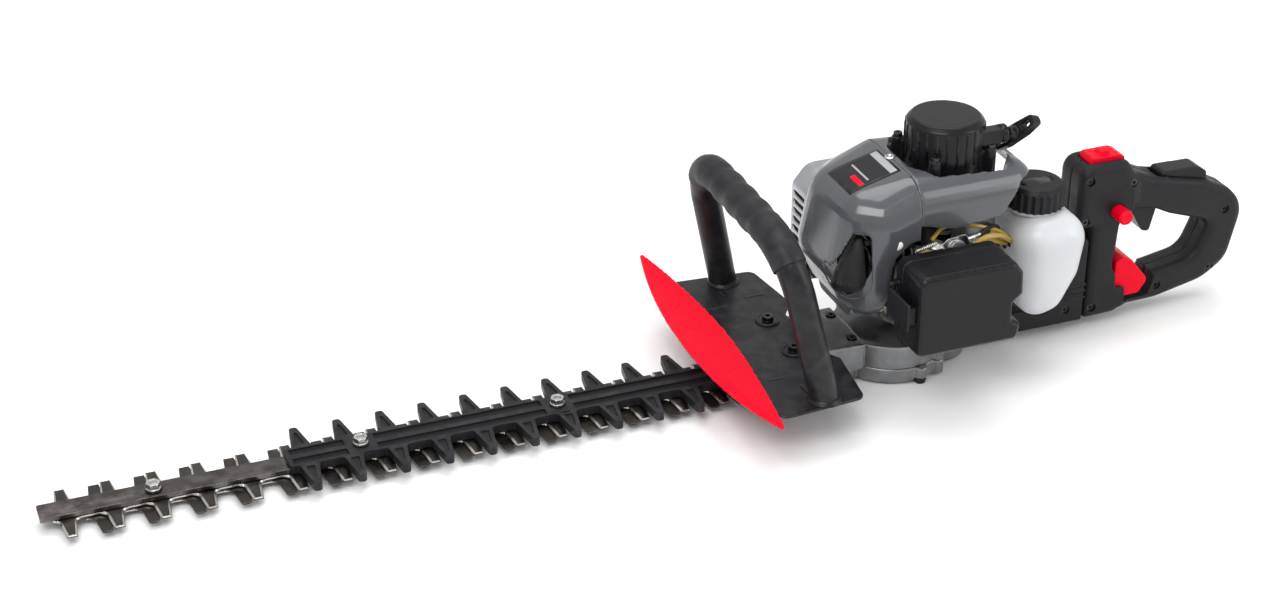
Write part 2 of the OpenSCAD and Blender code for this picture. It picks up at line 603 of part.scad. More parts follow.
// The grip hangs at a slant: its long axis, the way it faces and the third direction
t_long = unit([-0.45, 0.55, -0.7]);
t_face = unit([1, 0, 0] - t_long.x * t_long);
t_side = cross(t_face, t_long);
module pull_handle() color("#1b1a1c") {
    at(crank_x + 46, rope_y, rope_z) multmatrix([for (i = [0:2]) [t_side[i], t_long[i], t_face[i],
        0]]) difference() {
        union() {
            at(0, 0, 6) linear_extrude(9) polygon(rounded([for (q = t_grip) [q.y, q.x, q.z]], 3));
            cylinder(r1 = 4.5, r2 = 6.5, h = 7);
        }
        for (s = [-1, 1]) at(0, s * 14.5, 0) linear_extrude(30) polygon(box_outline(5, 9, 2));
    }
    at(crank_x - 19, rope_y, rope_z) along_x() rod(1.5, 0, 66);
}

// ---- engine shroud -------------------------------------------------------
seam_x = 182;
half_w = shroud_w / 2;
// Corner balls of the shroud: x, |y|, z, radius
front_balls = [[152, 22, shroud_top - 40, 30], [146, 24, 112, 30], [152, 26, 94, 28],
    [160, half_w - 27, 150, 27],
    [seam_x + 6, half_w - 27, shroud_top - 27, 27], [seam_x + 6, half_w - 27, 95, 27]];
rear_balls = [[seam_x - 6, half_w - 27, shroud_top - 27, 27], [271, half_w - 32, shroud_top - 29, 25],
    [seam_x - 6, half_w - 22, 145, 22], [272, half_w - 29, 145, 22]];
module balls(list, shrink) hull() for (b = list, s = [-1, 1]) at(b.x, s * b.y, b.z) sphere(b[3] - shrink,
    $fn = 28);
// Teardrop opening over the plug boot
module teardrop() side_slab([[111, 100, 12], [128, 86, 14], [143, 100, 12], [141, 148, 4],
    [131, 150, 4]], -70, -20);
module front_shroud() color("#5c5e64") difference() {
    balls(front_balls, 0);
    balls(front_balls, wall);
    at(seam_x, -100, 0) cube(200);
    at(100, -80, 0) cube([200, 160, 66]);
    at(130, -34, 50) cube([100, 68, 78]);
    teardrop();
    side_slab([[154, 50, 4], [300, 50, 4], [300, 140, 4], [174, 140, 16], [160, 126, 20]], -90, 0);
    side_slab([[127.5, 40, 4], [300, 40, 4], [300, 158.5, 4], [141, 158.5, 14], [127.5, 141, 10]], 43, 90);
    at(128, 34, 60) cube([60, 40, 70]);
}
opening = [[188, -20, 3], [203, -40, 3], [262, -40, 3], [277, -20, 3], [277, 12, 4], [266, 40, 5],
    [200, 40, 5], [188, 20, 3]];
module rear_shroud() color("#5c5e64") difference() {
    balls(rear_balls, 0);
    balls(rear_balls, wall);
    at(seam_x - 100, -100, 0) cube([100, 200, 300]);
    side_slab([[150, 100, 4], [330, 100, 4], [330, 161, 4], [276, 161, 3], [257, 146, 8], [215, 143, 20],
        [180, 153, 1],
        [150, 153, 4]], -90, 90);
    side_slab([[262, 140, 4], [330, 140, 4], [330, 173, 4], [277, 173, 8], [262, 152, 6]], -90, -2);
    slab(opening, 160, 220);
    at(268, -18, 176) cube([40, 24, 20]);
}
module cover_screws() color("#3b3c3f") {
    for (a = boss_angles) at(crank_x, 0, 194) rotate(a) at(38, 0, 0) screw(4, 10, 7.4, 3.2);
    at(352, -handle_t / 2 + 6, 72) rotate([90, 0, 0]) screw(3.8, 20, 7, 2.6);
    at(348, -handle_t / 2 + 6, 22) rotate([90, 0, 0]) screw(3.8, 20, 7, 2.6);
}

// ---- carburettor and air filter ------------------------------------------
carb_y = [-67, -46];
module carburettor() color("#b4b6b8") {
    difference() {
        union() {
            at(intake.x - 4, carb_y[0], intake.y - 12) cube([28, carb_y[1] - carb_y[0], 24]);
            at(intake.x + 10, -56, intake.y) rod(5, -16, 18);
            for (z = [-7, 4]) at(intake.x + 24, -56, intake.y + z) along_x() rod(2.4, 0, 5);
        }
        at(intake.x + 4, -80, intake.y) along_y() rod(6, 0, 60);
    }
    difference() {
        at(intake.x - 8, -45.8, intake.y - 10) cube([26, 11.6, 20]);
        at(intake.x, -60, intake.y) along_y() rod(6, 0, 40);
    }
}
module throttle_lever() color("#c4c6c8") at(intake.x + 10, -56, 0) {
    rod(3.5, intake.y + 18.3, intake.y + 24);
    slab([[-3.5, -3.5, 3], [3.5, -3.5, 3], [3.5, 12, 3], [-3.5, 12, 3]], intake.y + 24, intake.y + 26);
}
box_x = 157;
box_z = 63.5;
box_edge = [[box_x, box_z, 6], [box_x + airbox_w - 2, box_z, 6], [box_x + airbox_w + 1, box_z + 14, 3],
    [box_x + airbox_w - 8, box_z + 19, 3], [box_x + airbox_w - 8, box_z + 34, 3],
        [box_x + airbox_w + 1, box_z + 41, 4],
    [box_x + airbox_w, box_z + 60, 5], [box_x + airbox_w - 8, box_z + airbox_h, 6],
        [box_x, box_z + airbox_h, 8]];
clip_z = [84, 116];
clip_pin = [151.5, -71];
module airbox_base() color("#262428") {
    difference() {
        side_slab(box_edge, -77.7, -67.2);
        side_slab(inset(box_edge, 2.2), -80, -70);
        at(intake.x + 4, -75, intake.y) along_y() rod(6, 0, 20);
    }
    for (z = [clip_z[0], clip_z[1] - 4]) at(clip_pin.x, clip_pin.y, 0) {
        rod(3.2, z, z + 4);
        at(0, -3.2, z) cube([6.5, 6.4, 4]);
    }
    at(clip_pin.x, clip_pin.y, 0) rod(1.5, clip_z[0] + 1, clip_z[1] - 1);
}
module air_filter() color("#c8a24a") side_slab(inset(box_edge, 6.5), -98, -70.2);
module airbox_cover() color("#262428") difference() {
    union() {
        side_slab(box_edge, -107, -78);
        side_slab(inset(box_edge, 1.2), -109, -106.9);
        side_slab(inset(box_edge, 3), -110, -108.9);
    }
    side_slab(inset(box_edge, wall), -107.4, -70);
}
module airbox_clip() color("#1d1c1f") difference() {
    union() {
        at(clip_pin.x, clip_pin.y, 0) rod(3.2, clip_z[0] + 4.3, clip_z[1] - 4.3);
        at(clip_pin.x - 3.2, -106, clip_z[0] + 4.3) cube([2.6, 35, clip_z[1] - clip_z[0] - 8.6]);
        at(clip_pin.x - 3.2, -104, clip_z[0] + 9) cube([8.4, 3, clip_z[1] - clip_z[0] - 18]);
    }
    at(clip_pin.x, clip_pin.y, 0) rod(1.5 + fit, 60, 130);
}

// ---- fuel system ---------------------------------------------------------
cap_xy = [303, -25];
tank_balls = [[301, -44, 64, 19], [308, -44, 68, 21], [301, -6, 64, 19], [308, -6, 68, 21],
    [306, -47, 106, 25], [313, -45, 108, 25], [306, -3, 106, 25], [313, -3, 108, 25]];
module tank_shape(shrink) hull() for (b = tank_balls) at(b.x, b.y, b.z) sphere(b[3] - shrink, $fn = 28);
module fuel_tank() color("#e6e8ec") difference() {
    union() {
        tank_shape(0);
        at(cap_xy.x, cap_xy.y, 0) rod(19, 110, 137);
    }
    tank_shape(2);
    at(cap_xy.x, cap_xy.y, 0) rod(16, 100, 140);
}
module fuel_cap() color("#1f1e21") at(cap_xy.x, cap_xy.y, 0) difference() {
    union() {
        at(0, 0, 137.3) linear_extrude(16.7) polygon([for (i = [0:95]) let (r =
            cap_d / 2 - (i % 4 < 2 ? 0 : 1.2))
            [r * cos(i * 3.75), r * sin(i * 3.75)]]);
        rod(cap_d / 2 - 2, 153, 155.5);
        rod(cap_d / 2 - 3.5, 155, 157);
    }
    rod(20.5, 130, 138.5);
    slab([[-15, -5, 2], [15, -5, 2], [15, 5, 2], [-15, 5, 2]], 155.6, 159);
}
line_routes = [
    [[280, -32, 108], [270, -38, 112], [252, -50, 116], [236, -56, 112], [222, -56, 103], [213.4, -56, 102]],
    [[280, -27, 103], [268, -33, 104], [250, -44, 106], [236, -52, 98], [224, -56, 92], [213.4, -56, 91]]];
module fuel_lines() color("#c9b53a") {
    for (l = line_routes) sweep(l, 1.6, 8, false, [0, 0, 1]);
}

// ---- wiring --------------------------------------------------------------
wire_routes = [
    [[182.5, -37.5, 133], [168, -42, 139], [152, -44, 141], [140.5, -42.5, 137.5]],
    [[182, -40, 140], [173, -44, 135], [165, -46, 122], [160, -44, 104], [157, -42, 84], [160, -42, 68],
        [176, -46, 60],
        [200, -50, 57], [228, -48, 55], [252, -36, 47], [262, -22, 38], [268, -12, 33], [278, -10, 32]],
    [[186, -42, 127], [178, -42, 127], [171, -41, 122], [166, -40, 112], [163, -38, 100], [162, -37, 84],
        [168, -38, 72],
        [190, -42, 66], [224, -44, 61], [250, -32, 52], [262, -16, 41], [270, -7, 34], [278, -5, 32]]];
module wiring() color("#232225") for (l = wire_routes) sweep(l, 1.8, 8, false, [0, 0.2, 1]);

// ---- rear handle ---------------------------------------------------------
half_t = handle_t / 2;
sleeve_r = 14;
support_edge = [[257.4, 9, 6], [365.4, 9, 3], [365.4, 89, 5], [343.5, 89, 6], [343.5, 40, 6],
    [336, 30, 8], [257.4, 30, 5]];
module handle_support() color("#262428") difference() {
    union() {
        side_slab(support_edge, 4 - half_t, half_t - 4);
        side_slab(inset(support_edge, 1), 1.5 - half_t, half_t - 1.5);
        at(300, -14, 29) cube([18, 28, 3.1]);
        at(0, 0, swivel_z) along_x() rod(sleeve_r, 360, 384);
        at(0, 0, swivel_z) along_x() rod(sleeve_r + 4, 378, 384);
        for (z = [32, 38, 44]) side_slab([[346, z, 0.5], [365.4, z, 0.5], [365.4, z + 1.6, 0.5],
            [346, z + 1.6, 0.5]], -half_t, half_t);
    }
    at(0, 0, swivel_z) along_x() rod(9, 350, 390);
    side_slab([[268, 15, 3], [352, 15, 3], [352, 26, 3], [268, 26, 3]], wall - half_t + 2, half_t - wall - 2);
    side_slab([[346.5, 22, 3], [358, 22, 3], [358, 80, 3], [346.5, 80, 3]],
        wall - half_t + 2, half_t - wall - 2);
    at(266, -12, 20) cube([8, 18, 20]);
    for (p = [[352, 72], [348, 22]]) at(p.x, 0, p.y) along_y() {
        rod(3.7, -half_t - 1, -half_t + 6);
        rod(2, -half_t, half_t - 4);
    }
}
body_edge = [[366, 9, 4], [396, 10, 6], [402, 13, 8], [440, 14, 60], [486, 24, 40], [509, 40, 26],
    [520.2, 92, 26], [504, 108, 16],
    [478, 121, 40], [424, 133, 30], [405, 142, 10], [397, 155, 10], [352, 155, 13], [352, 97, 5],
        [366, 97, 1]];
loop_edge = [[397, 94, 8], [395, 60, 10], [402, 44, 16], [436, 41, 30], [474, 48, 18], [487, 80, 8],
    [446, 94, 12], [430, 102, 6], [408, 106, 6]];
handle_bolts = [[360, 142], [403, 134], [359, 104], [500, 90], [491, 35], [439, 27], [373, 20]];
lever_edge = [[395, 58, 4], [402, 62, 4], [411, 58, 5], [429, 36, 5], [421, 24, 3], [395, 23, 3]];
lever_pivot = [399, 29];
trigger_edge = [[408, 120, 4], [406, 108, 3], [423, 80, 3], [430, 78, 3], [435, 100, 6], [432, 112, 4],
    [418, 122, 4]];
trigger_pivot = [413, 115];
palm_edge = [[434, 123, 3], [470, 113, 4], [480, 112, 2], [481, 127, 4], [472, 133, 6], [436, 134, 3]];
palm_pivot = [439, 128];
// Rounded edges made of stepped layers: inset of the outline and half thickness
layers = [[0, 13], [0.5, 15.5], [1.4, 17.4], [2.8, 18.8], [4.6, 19.6], [6.5, half_t]];
slim = 0.8;                                  // the bars of the loop are thinner than the head
module handle_body() difference() {
    for (l = layers) {
        side_slab(inset(body_edge, l[0]), -slim * l[1], slim * l[1]);
        for (step = [[410, 0.87], [407, 0.94], [404, 1]]) intersection() {
            side_slab(inset(body_edge, l[0]), -step[1] * l[1], step[1] * l[1]);
            at(340, -30, 0) cube([step[0] - 340, 60, 180]);
        }
    }
    for (i = [0:len(layers) - 1], s = [-1, 1]) let (y = i == 0 ? 0 : slim * layers[i - 1][1])
        side_slab(inset(loop_edge, -layers[i][0]), s > 0 ? y : -30, s > 0 ? 30 : -y);
}
// Depth of the left side face at a screw
function side_y(p) = p.x > 410 ? slim * half_t : half_t;
lever_room = [[392.5, 62, 1], [400, 70, 4], [414, 61, 5], [436, 38, 4], [430, 19, 3], [392.5, 19, 1]];
ear_cut = [[394, 36, 2], [404, 35, 3], [405, 19, 2], [430, 19, 3], [436, 38, 4], [414, 61, 5],
    [400, 70, 4], [394, 62, 1]];
module handle_shell() {
    difference() {
        handle_body();
        // head, grip, back and bottom bar are hollow
        side_slab([[356, 101, 4], [402, 110, 4], [400, 140, 4], [392, 149, 4], [356, 149, 6]],
            wall - half_t, half_t - wall);
        side_slab([[398, 112, 3], [444, 102, 4], [490, 88, 4], [504, 92, 6], [500, 104, 6],
            [476, 116, 6], [424, 130, 6],
            [400, 135, 3]], -9.4, 9.4);
        side_slab([[492, 50, 3], [503, 46, 5], [511, 88, 4], [494, 84, 4]], -9, 9);
        side_slab([[440, 20, 5], [484, 31, 5], [494, 42, 5], [478, 41, 5], [444, 35, 5]], -9, 9);
        // swivel sleeve and its flange
        at(0, 0, swivel_z) along_x() rod(sleeve_r + fit, 350, 378.2);
        at(0, 0, swivel_z) along_x() rod(sleeve_r + 4 + gap, 377.7, 384.6);
        at(0, 0, swivel_z) along_x() rod(9, 384, 388);
        // room for the trigger, the safety lever, the stop switch, the throttle lock and the swivel lock
        side_slab([[404.5, 98, 0.5], [442, 88, 0.5], [442, 110, 1], [404.5, 116, 1]], -8.4, 8.4);
        side_slab([[431, 112, 1], [482.5, 100, 1], [482.5, 140, 1], [431, 145, 1]], -9.4, 9.4);
        side_slab([[362, 151.5, 0.5], [404, 151.5, 0.5], [404, 160, 1], [362, 160, 1]], -10.4, 10.4);
        at(389, 0, 110) along_y() rod(6.5 + fit, -30, -4);
        side_slab(lever_room, -16.4, 16.4);
        for (s = [-1, 1]) side_slab(ear_cut, s > 0 ? 10 : -30, s > 0 ? 30 : -10);
        for (p = handle_bolts) at(p.x, 0, p.y) along_y() {
            rod(3.7, -half_t - 1, 5 - side_y(p));
            rod(2, -half_t, side_y(p) - 3);
        }
    }
    pivot_pin(trigger_pivot, 2, 13);
    pivot_pin(palm_pivot, 2, 13);
    pivot_pin(lever_pivot, 2, 17);
}
module left_handle_half() color("#262428") intersection() {
    handle_shell();
    at(340, -30, 0) cube([190, 29.95, 180]);
}
module right_handle_half() color("#262428") intersection() {
    handle_shell();
    at(340, 0.05, 0) cube([190, 29.95, 180]);
}
module handle_screws() color("#3b3c3f") for (p = handle_bolts) at(p.x, 5 - side_y(p), p.y)
    rotate([90, 0, 0]) screw(3.8, p.x > 410 ? 20 : 26, 7, 2.6);
module pivot_pin(p, r, half) at(p.x, 0, p.y) along_y() rod(r, -half, half);
module throttle_trigger() color("#1e1d20") difference() {
    side_slab(trigger_edge, -7.8, 7.8);
    pivot_pin(trigger_pivot, 2 + fit, 20);
}
module safety_lever() color("#232225") difference() {
    side_slab(palm_edge, -9, 9);
    pivot_pin(palm_pivot, 2 + fit, 20);
}
module stop_switch() color("#f0002f") {
    side_slab([[364, 152, 1], [396, 152, 1], [396, 156.5, 1.5], [391, 158.5, 1], [366, 158.5, 1]], -10, 10);
    side_slab([[375, 158.4, 0.3], [385, 158.4, 0.3], [384, 161.5, 1], [376, 161.5, 1]], -5, 5);
}
module throttle_lock() color("#f0002f") at(389, 0, 110) along_y() {
    rod(6.5, -33, -12);
    rod(5.5, -34.5, -32.9);
}
module swivel_lock() color("#f0002f") difference() {
    side_slab(lever_edge, -16, 16);
    pivot_pin(lever_pivot, 2 + fit, 20);
}

guide_bar();
upper_blade();
lower_blade();
tooth_guard();
blade_bolts();
blade_bushes();
blade_washers();
blade_nuts();
gear_case_lower();
gear_case_upper();
gear_case_screws();
drive_gear();
eccentrics();
bearings();
clutch_drum();
clutch_housing();
clutch_shoes();
rubber_feet();
handle_plate();
plate_screws();
front_handle();
front_grip();
hand_shield();
crankcase();
crankshaft();
connecting_rod();
piston();
engine_cylinder();
spark_plug();
plug_boot();
muffler();
muffler_cover();
flywheel();
ignition_coil();
starter_housing();
starter_reel();
recoil_spring();
pull_handle();
front_shroud();
rear_shroud();
cover_screws();
carburettor();
throttle_lever();
airbox_base();
air_filter();
airbox_cover();
airbox_clip();
fuel_tank();
fuel_cap();
fuel_lines();
wiring();
handle_support();
left_handle_half();
right_handle_half();
handle_screws();
throttle_trigger();
safety_lever();
stop_switch();
throttle_lock();
swivel_lock();
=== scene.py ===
"""Petrol hedge trimmer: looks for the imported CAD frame."""
import math

import bmesh
import bpy
from mathutils import Matrix, Vector


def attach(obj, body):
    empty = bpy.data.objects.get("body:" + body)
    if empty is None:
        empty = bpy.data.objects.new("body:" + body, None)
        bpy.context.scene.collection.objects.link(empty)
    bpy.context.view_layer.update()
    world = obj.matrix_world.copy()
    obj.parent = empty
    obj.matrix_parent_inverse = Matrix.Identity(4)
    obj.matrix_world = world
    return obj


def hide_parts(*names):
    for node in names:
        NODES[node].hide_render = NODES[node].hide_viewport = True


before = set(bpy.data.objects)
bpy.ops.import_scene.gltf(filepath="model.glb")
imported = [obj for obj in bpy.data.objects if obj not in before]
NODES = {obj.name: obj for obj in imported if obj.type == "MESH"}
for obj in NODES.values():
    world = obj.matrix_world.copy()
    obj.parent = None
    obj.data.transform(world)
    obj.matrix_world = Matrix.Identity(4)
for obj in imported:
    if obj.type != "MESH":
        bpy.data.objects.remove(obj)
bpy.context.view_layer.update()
MM = 0.001


# ---- materials -------------------------------------------------------------
class Shader:
    """A Principled material with a short way to add and join nodes."""

    def __init__(self, name):
        self.mat = bpy.data.materials.new(name)
        self.mat.use_nodes = True
        self.tree = self.mat.node_tree
        self.bsdf = self.tree.nodes["Principled BSDF"]
        self.coords = self.add("ShaderNodeTexCoord").outputs["Object"]

    def add(self, kind, **settings):
        node = self.tree.nodes.new(kind)
        for key, value in settings.items():
            if key in node.inputs:
                node.inputs[key].default_value = value
            else:
                setattr(node, key, value)
        return node

    def join(self, source, target):
        self.tree.links.new(source, target)

    def noise(self, scale, detail=3.0, stretch=None):
        """Noise over object space; scale is in cycles per metre."""
        vector = self.coords
        if stretch:
            mapping = self.add("ShaderNodeMapping")
            mapping.inputs["Scale"].default_value = stretch
            self.join(vector, mapping.inputs["Vector"])
            vector = mapping.outputs["Vector"]
        node = self.add("ShaderNodeTexNoise", Scale=scale, Detail=detail, Roughness=0.55)
        self.join(vector, node.inputs["Vector"])
        return node.outputs["Fac"]

    def ramp(self, source, low, high, start=0.35, end=0.65):
        """Maps source from start..end to low..high, which are numbers or colours."""
        if isinstance(low, (int, float)):
            node = self.add("ShaderNodeMapRange")
            for key, value in (("From Min", start), ("From Max", end), ("To Min", low), ("To Max", high)):
                node.inputs[key].default_value = value
            self.join(source, node.inputs["Value"])
            return node.outputs["Result"]
        node = self.add("ShaderNodeValToRGB")
        for element, place, colour in zip(node.color_ramp.elements, (start, end), (low, high)):
            element.position = place
            element.color = (*colour, 1.0)
        self.join(source, node.inputs["Fac"])
        return node.outputs["Color"]

    def mix(self, factor, first, second):
        node = self.add("ShaderNodeMix", data_type="RGBA")
        self.join(factor, node.inputs["Factor"])
        for socket, value in ((node.inputs[6], first), (node.inputs[7], second)):
            if isinstance(value, tuple):
                socket.default_value = (*value, 1.0)
            else:
                self.join(value, socket)
        return node.outputs[2]

    def bump(self, *layers):
        """Chains bump nodes; each layer is (source, height in metres, strength)."""
        normal = None
        for source, height, strength in layers:
            node = self.add("ShaderNodeBump", Strength=strength, Distance=height)
            self.join(source, node.inputs["Height"])
            if normal:
                self.join(normal, node.inputs["Normal"])
            normal = node.outputs["Normal"]
        self.join(normal, self.bsdf.inputs["Normal"])

    def edges(self, low=0.51, high=0.58):
        """1 on convex edges, 0 elsewhere, broken up by noise."""
        point = self.add("ShaderNodeNewGeometry").outputs["Pointiness"]
        sharp = self.ramp(point, 0.0, 1.0, low, high)
        patch = self.ramp(self.noise(90, 4), 0.0, 1.0, 0.42, 0.62)
        node = self.add("ShaderNodeMath", operation="MULTIPLY", use_clamp=True)
        self.join(sharp, node.inputs[0])
        self.join(patch, node.inputs[1])
        return node.outputs[0]


def shade(colour, factor):
    return tuple(min(1.0, c * factor) for c in colour)


def moulded(name, colour, rough, grain=0.0, wear=0.25, spread=0.12, coat=0.0, grain_scale=1500, shine=0.5):
    """Moulded plastic: uneven gloss, faint colour drift, fine grain and rubbed edges."""
    s = Shader(name)
    tint = s.ramp(s.noise(14, 4), shade(colour, 1 - spread), shade(colour, 1 + spread), 0.3, 0.7)
    s.join(s.mix(s.edges(), tint, shade(tuple(c + 0.02 for c in colour), 1 + wear)),
        s.bsdf.inputs["Base Color"])
    s.join(s.ramp(s.noise(55, 5), rough * 0.82, min(1, rough * 1.22)), s.bsdf.inputs["Roughness"])
    s.bsdf.inputs["Specular IOR Level"].default_value = shine
    s.bsdf.inputs["Coat Weight"].default_value = coat
    s.bsdf.inputs["Coat Roughness"].default_value = 0.12
    layers = [(s.noise(120, 2), 0.00025, 0.12)]
    if grain:
        layers.append((s.noise(grain_scale, 2), 0.0001, grain))
    s.bump(*layers)
    return s.mat


def metal(name, colour, rough, cast=0.0, brushed=None, tint=None, wear=0.3, coat=0.0):
    """Bare or coated metal, with cast grain or grinding marks along one axis."""
    s = Shader(name)
    s.bsdf.inputs["Metallic"].default_value = 1.0
    base = s.ramp(s.noise(30, 5), colour, tint or shade(colour, 0.8), 0.35, 0.7)
    s.join(s.mix(s.edges(), base, shade(colour, 1 + wear)), s.bsdf.inputs["Base Color"])
    s.join(s.ramp(s.noise(70, 6), rough * 0.75, min(1, rough * 1.3)), s.bsdf.inputs["Roughness"])
    s.bsdf.inputs["Coat Weight"].default_value = coat
    layers = []
    if cast:
        layers.append((s.noise(900, 3), 0.0002, cast))
    if brushed:
        layers.append((s.noise(1800, 2, brushed), 0.00006, 0.5))
    if layers:
        s.bump(*layers)
    return s.mat


def tank_plastic(name):
    """Milky blow-moulded plastic that lets some light through."""
    s = Shader(name)
    colour = (0.66, 0.675, 0.70)
    s.join(s.ramp(s.noise(9, 3), shade(colour, 0.93), shade(colour, 1.06), 0.3, 0.7),
        s.bsdf.inputs["Base Color"])
    s.bsdf.inputs["Subsurface Weight"].default_value = 0.35
    s.bsdf.inputs["Subsurface Radius"].default_value = (0.012, 0.012, 0.013)
    s.bsdf.inputs["Transmission Weight"].default_value = 0.12
    s.join(s.ramp(s.noise(60, 4), 0.28, 0.42), s.bsdf.inputs["Roughness"])
    s.bump((s.noise(160, 2), 0.0003, 0.15))
    return s.mat


def braid(name, colour):
    """Woven sheath: two crossing wave patterns."""
    s = Shader(name)
    waves = []
    for turn in (0.9, -0.9):
        mapping = s.add("ShaderNodeMapping")
        mapping.inputs["Rotation"].default_value = (turn, turn, turn)
        s.join(s.coords, mapping.inputs["Vector"])
        wave = s.add("ShaderNodeTexWave", Scale=420.0, Distortion=0.0)
        s.join(mapping.outputs["Vector"], wave.inputs["Vector"])
        waves.append(wave.outputs["Fac"])
    node = s.add("ShaderNodeMath", operation="MAXIMUM")
    s.join(waves[0], node.inputs[0])
    s.join(waves[1], node.inputs[1])
    s.join(s.ramp(node.outputs[0], shade(colour, 0.5), shade(colour, 1.8), 0.3, 0.9),
        s.bsdf.inputs["Base Color"])
    s.bsdf.inputs["Roughness"].default_value = 0.7
    s.bump((node.outputs[0], 0.0004, 0.8))
    return s.mat


RED = (0.74, 0.0003, 0.018)
MATERIALS = {
    "black_plastic": moulded("black_plastic", (0.0105, 0.0098, 0.0115), 0.46, grain=0.35, spread=0.06,
        shine=0.22),
    "black_gloss": moulded("black_gloss", (0.0090, 0.0084, 0.0098), 0.24, grain=0.06, wear=0.2,
        spread=0.05, shine=0.22),
    "grey_plastic": moulded("grey_plastic", (0.066, 0.070, 0.079), 0.22, grain=0.05, wear=0.2, coat=0.35,
        spread=0.05),
    "red_plastic": moulded("red_plastic", RED, 0.32, grain=0.06, wear=0.05, spread=0.03, shine=0.1),
    "black_paint": moulded("black_paint", (0.0105, 0.0095, 0.0115), 0.34, grain=0.05, wear=0.25,
        spread=0.05, shine=0.25),
    "soft_grip": moulded("soft_grip", (0.0145, 0.0135, 0.016), 0.5, shine=0.22, grain=0.3, grain_scale=900),
    "rubber": moulded("rubber", (0.012, 0.012, 0.013), 0.6, shine=0.22, grain=0.4, grain_scale=1100),
    "milky_plastic": tank_plastic("milky_plastic"),
    "cast_alloy": metal("cast_alloy", (0.56, 0.57, 0.58), 0.42, cast=0.4),
    "case_alloy": metal("case_alloy", (0.30, 0.305, 0.31), 0.4, cast=0.5, tint=(0.17, 0.172, 0.176)),
    "grey_paint": metal("grey_paint", (0.50, 0.51, 0.54), 0.38, cast=0.1, coat=0.2),
    "blade_steel": metal("blade_steel", (0.085, 0.074, 0.066), 0.34, brushed=(1, 0.06, 1), tint=(0.055,
        0.048, 0.046), wear=1.2),
    "ground_steel": metal("ground_steel", (0.62, 0.60, 0.57), 0.26, brushed=(1, 0.08, 1), wear=0.1),
    "bar_steel": metal("bar_steel", (0.115, 0.103, 0.098), 0.3, brushed=(0.06, 1, 1), tint=(0.07, 0.062,
        0.06), wear=1.0),
    "zinc_steel": metal("zinc_steel", (0.66, 0.66, 0.63), 0.27, brushed=(1, 1, 0.2)),
    "steel": metal("steel", (0.42, 0.42, 0.42), 0.3, brushed=(1, 1, 0.2)),
    "dark_screw": metal("dark_screw", (0.045, 0.045, 0.05), 0.33, cast=0.1, wear=1.5),
    "heat_steel": metal("heat_steel", (0.23, 0.19, 0.16), 0.45, cast=0.2, tint=(0.16, 0.14, 0.16)),
    "brass": metal("brass", (0.62, 0.43, 0.17), 0.3, brushed=(1, 1, 0.3)),
    "foam": moulded("foam", (0.42, 0.27, 0.07), 0.9, grain=1.0, grain_scale=700),
    "ceramic": moulded("ceramic", (0.78, 0.76, 0.72), 0.12, wear=0.0, spread=0.02, coat=0.5),
    "hose": moulded("hose", (0.42, 0.27, 0.04), 0.2, wear=0.0),
    "cable_skin": braid("cable_skin", (0.045, 0.043, 0.047)),
    "label": moulded("label", (0.33, 0.34, 0.36), 0.33, wear=0.0, spread=0.03),
    "dark_label": moulded("dark_label", (0.014, 0.014, 0.016), 0.3, wear=0.0, shine=0.22),
    "gasket": moulded("gasket", (0.20, 0.13, 0.07), 0.8, grain=0.4),
}


# ---- finishing of CAD nodes --------------------------------------------------
def paint(node, material):
    data = NODES[node].data
    data.materials.clear()
    data.materials.append(MATERIALS[material])
    for face in data.polygons:
        face.use_smooth = True


def crisp(node, material, width=0.35, segments=2):
    """Metal and small parts: flat faces stay flat and every sharp edge gets a small round."""
    paint(node, material)
    o = NODES[node]
    o.modifiers.new("weld", "WELD").merge_threshold = 1e-5
    flat = o.modifiers.new("flat", "DECIMATE")
    flat.decimate_type = "DISSOLVE"
    flat.angle_limit = math.radians(1.0)
    bevel = o.modifiers.new("bevel", "BEVEL")
    bevel.width = width * MM
    bevel.segments = segments
    bevel.limit_method = "ANGLE"
    bevel.angle_limit = math.radians(32)
    bevel.use_clamp_overlap = False
    o.modifiers.new("normals", "WEIGHTED_NORMAL").keep_sharp = True


def melt(node, material, voxel=0.8, passes=6, keep=0.4):
    """Moulded and cast parts: the stepped CAD solid becomes one skin with soft edges."""
    paint(node, material)
    o = NODES[node]
    o.modifiers.new("weld", "WELD").merge_threshold = 1e-5
    remesh = o.modifiers.new("skin", "REMESH")
    remesh.mode = "VOXEL"
    remesh.voxel_size = voxel * MM
    remesh.use_smooth_shade = True
    smooth = o.modifiers.new("soft", "SMOOTH")
    smooth.factor = 0.5
    smooth.iterations = passes
    if keep < 1:
        o.modifiers.new("thin", "DECIMATE").ratio = keep


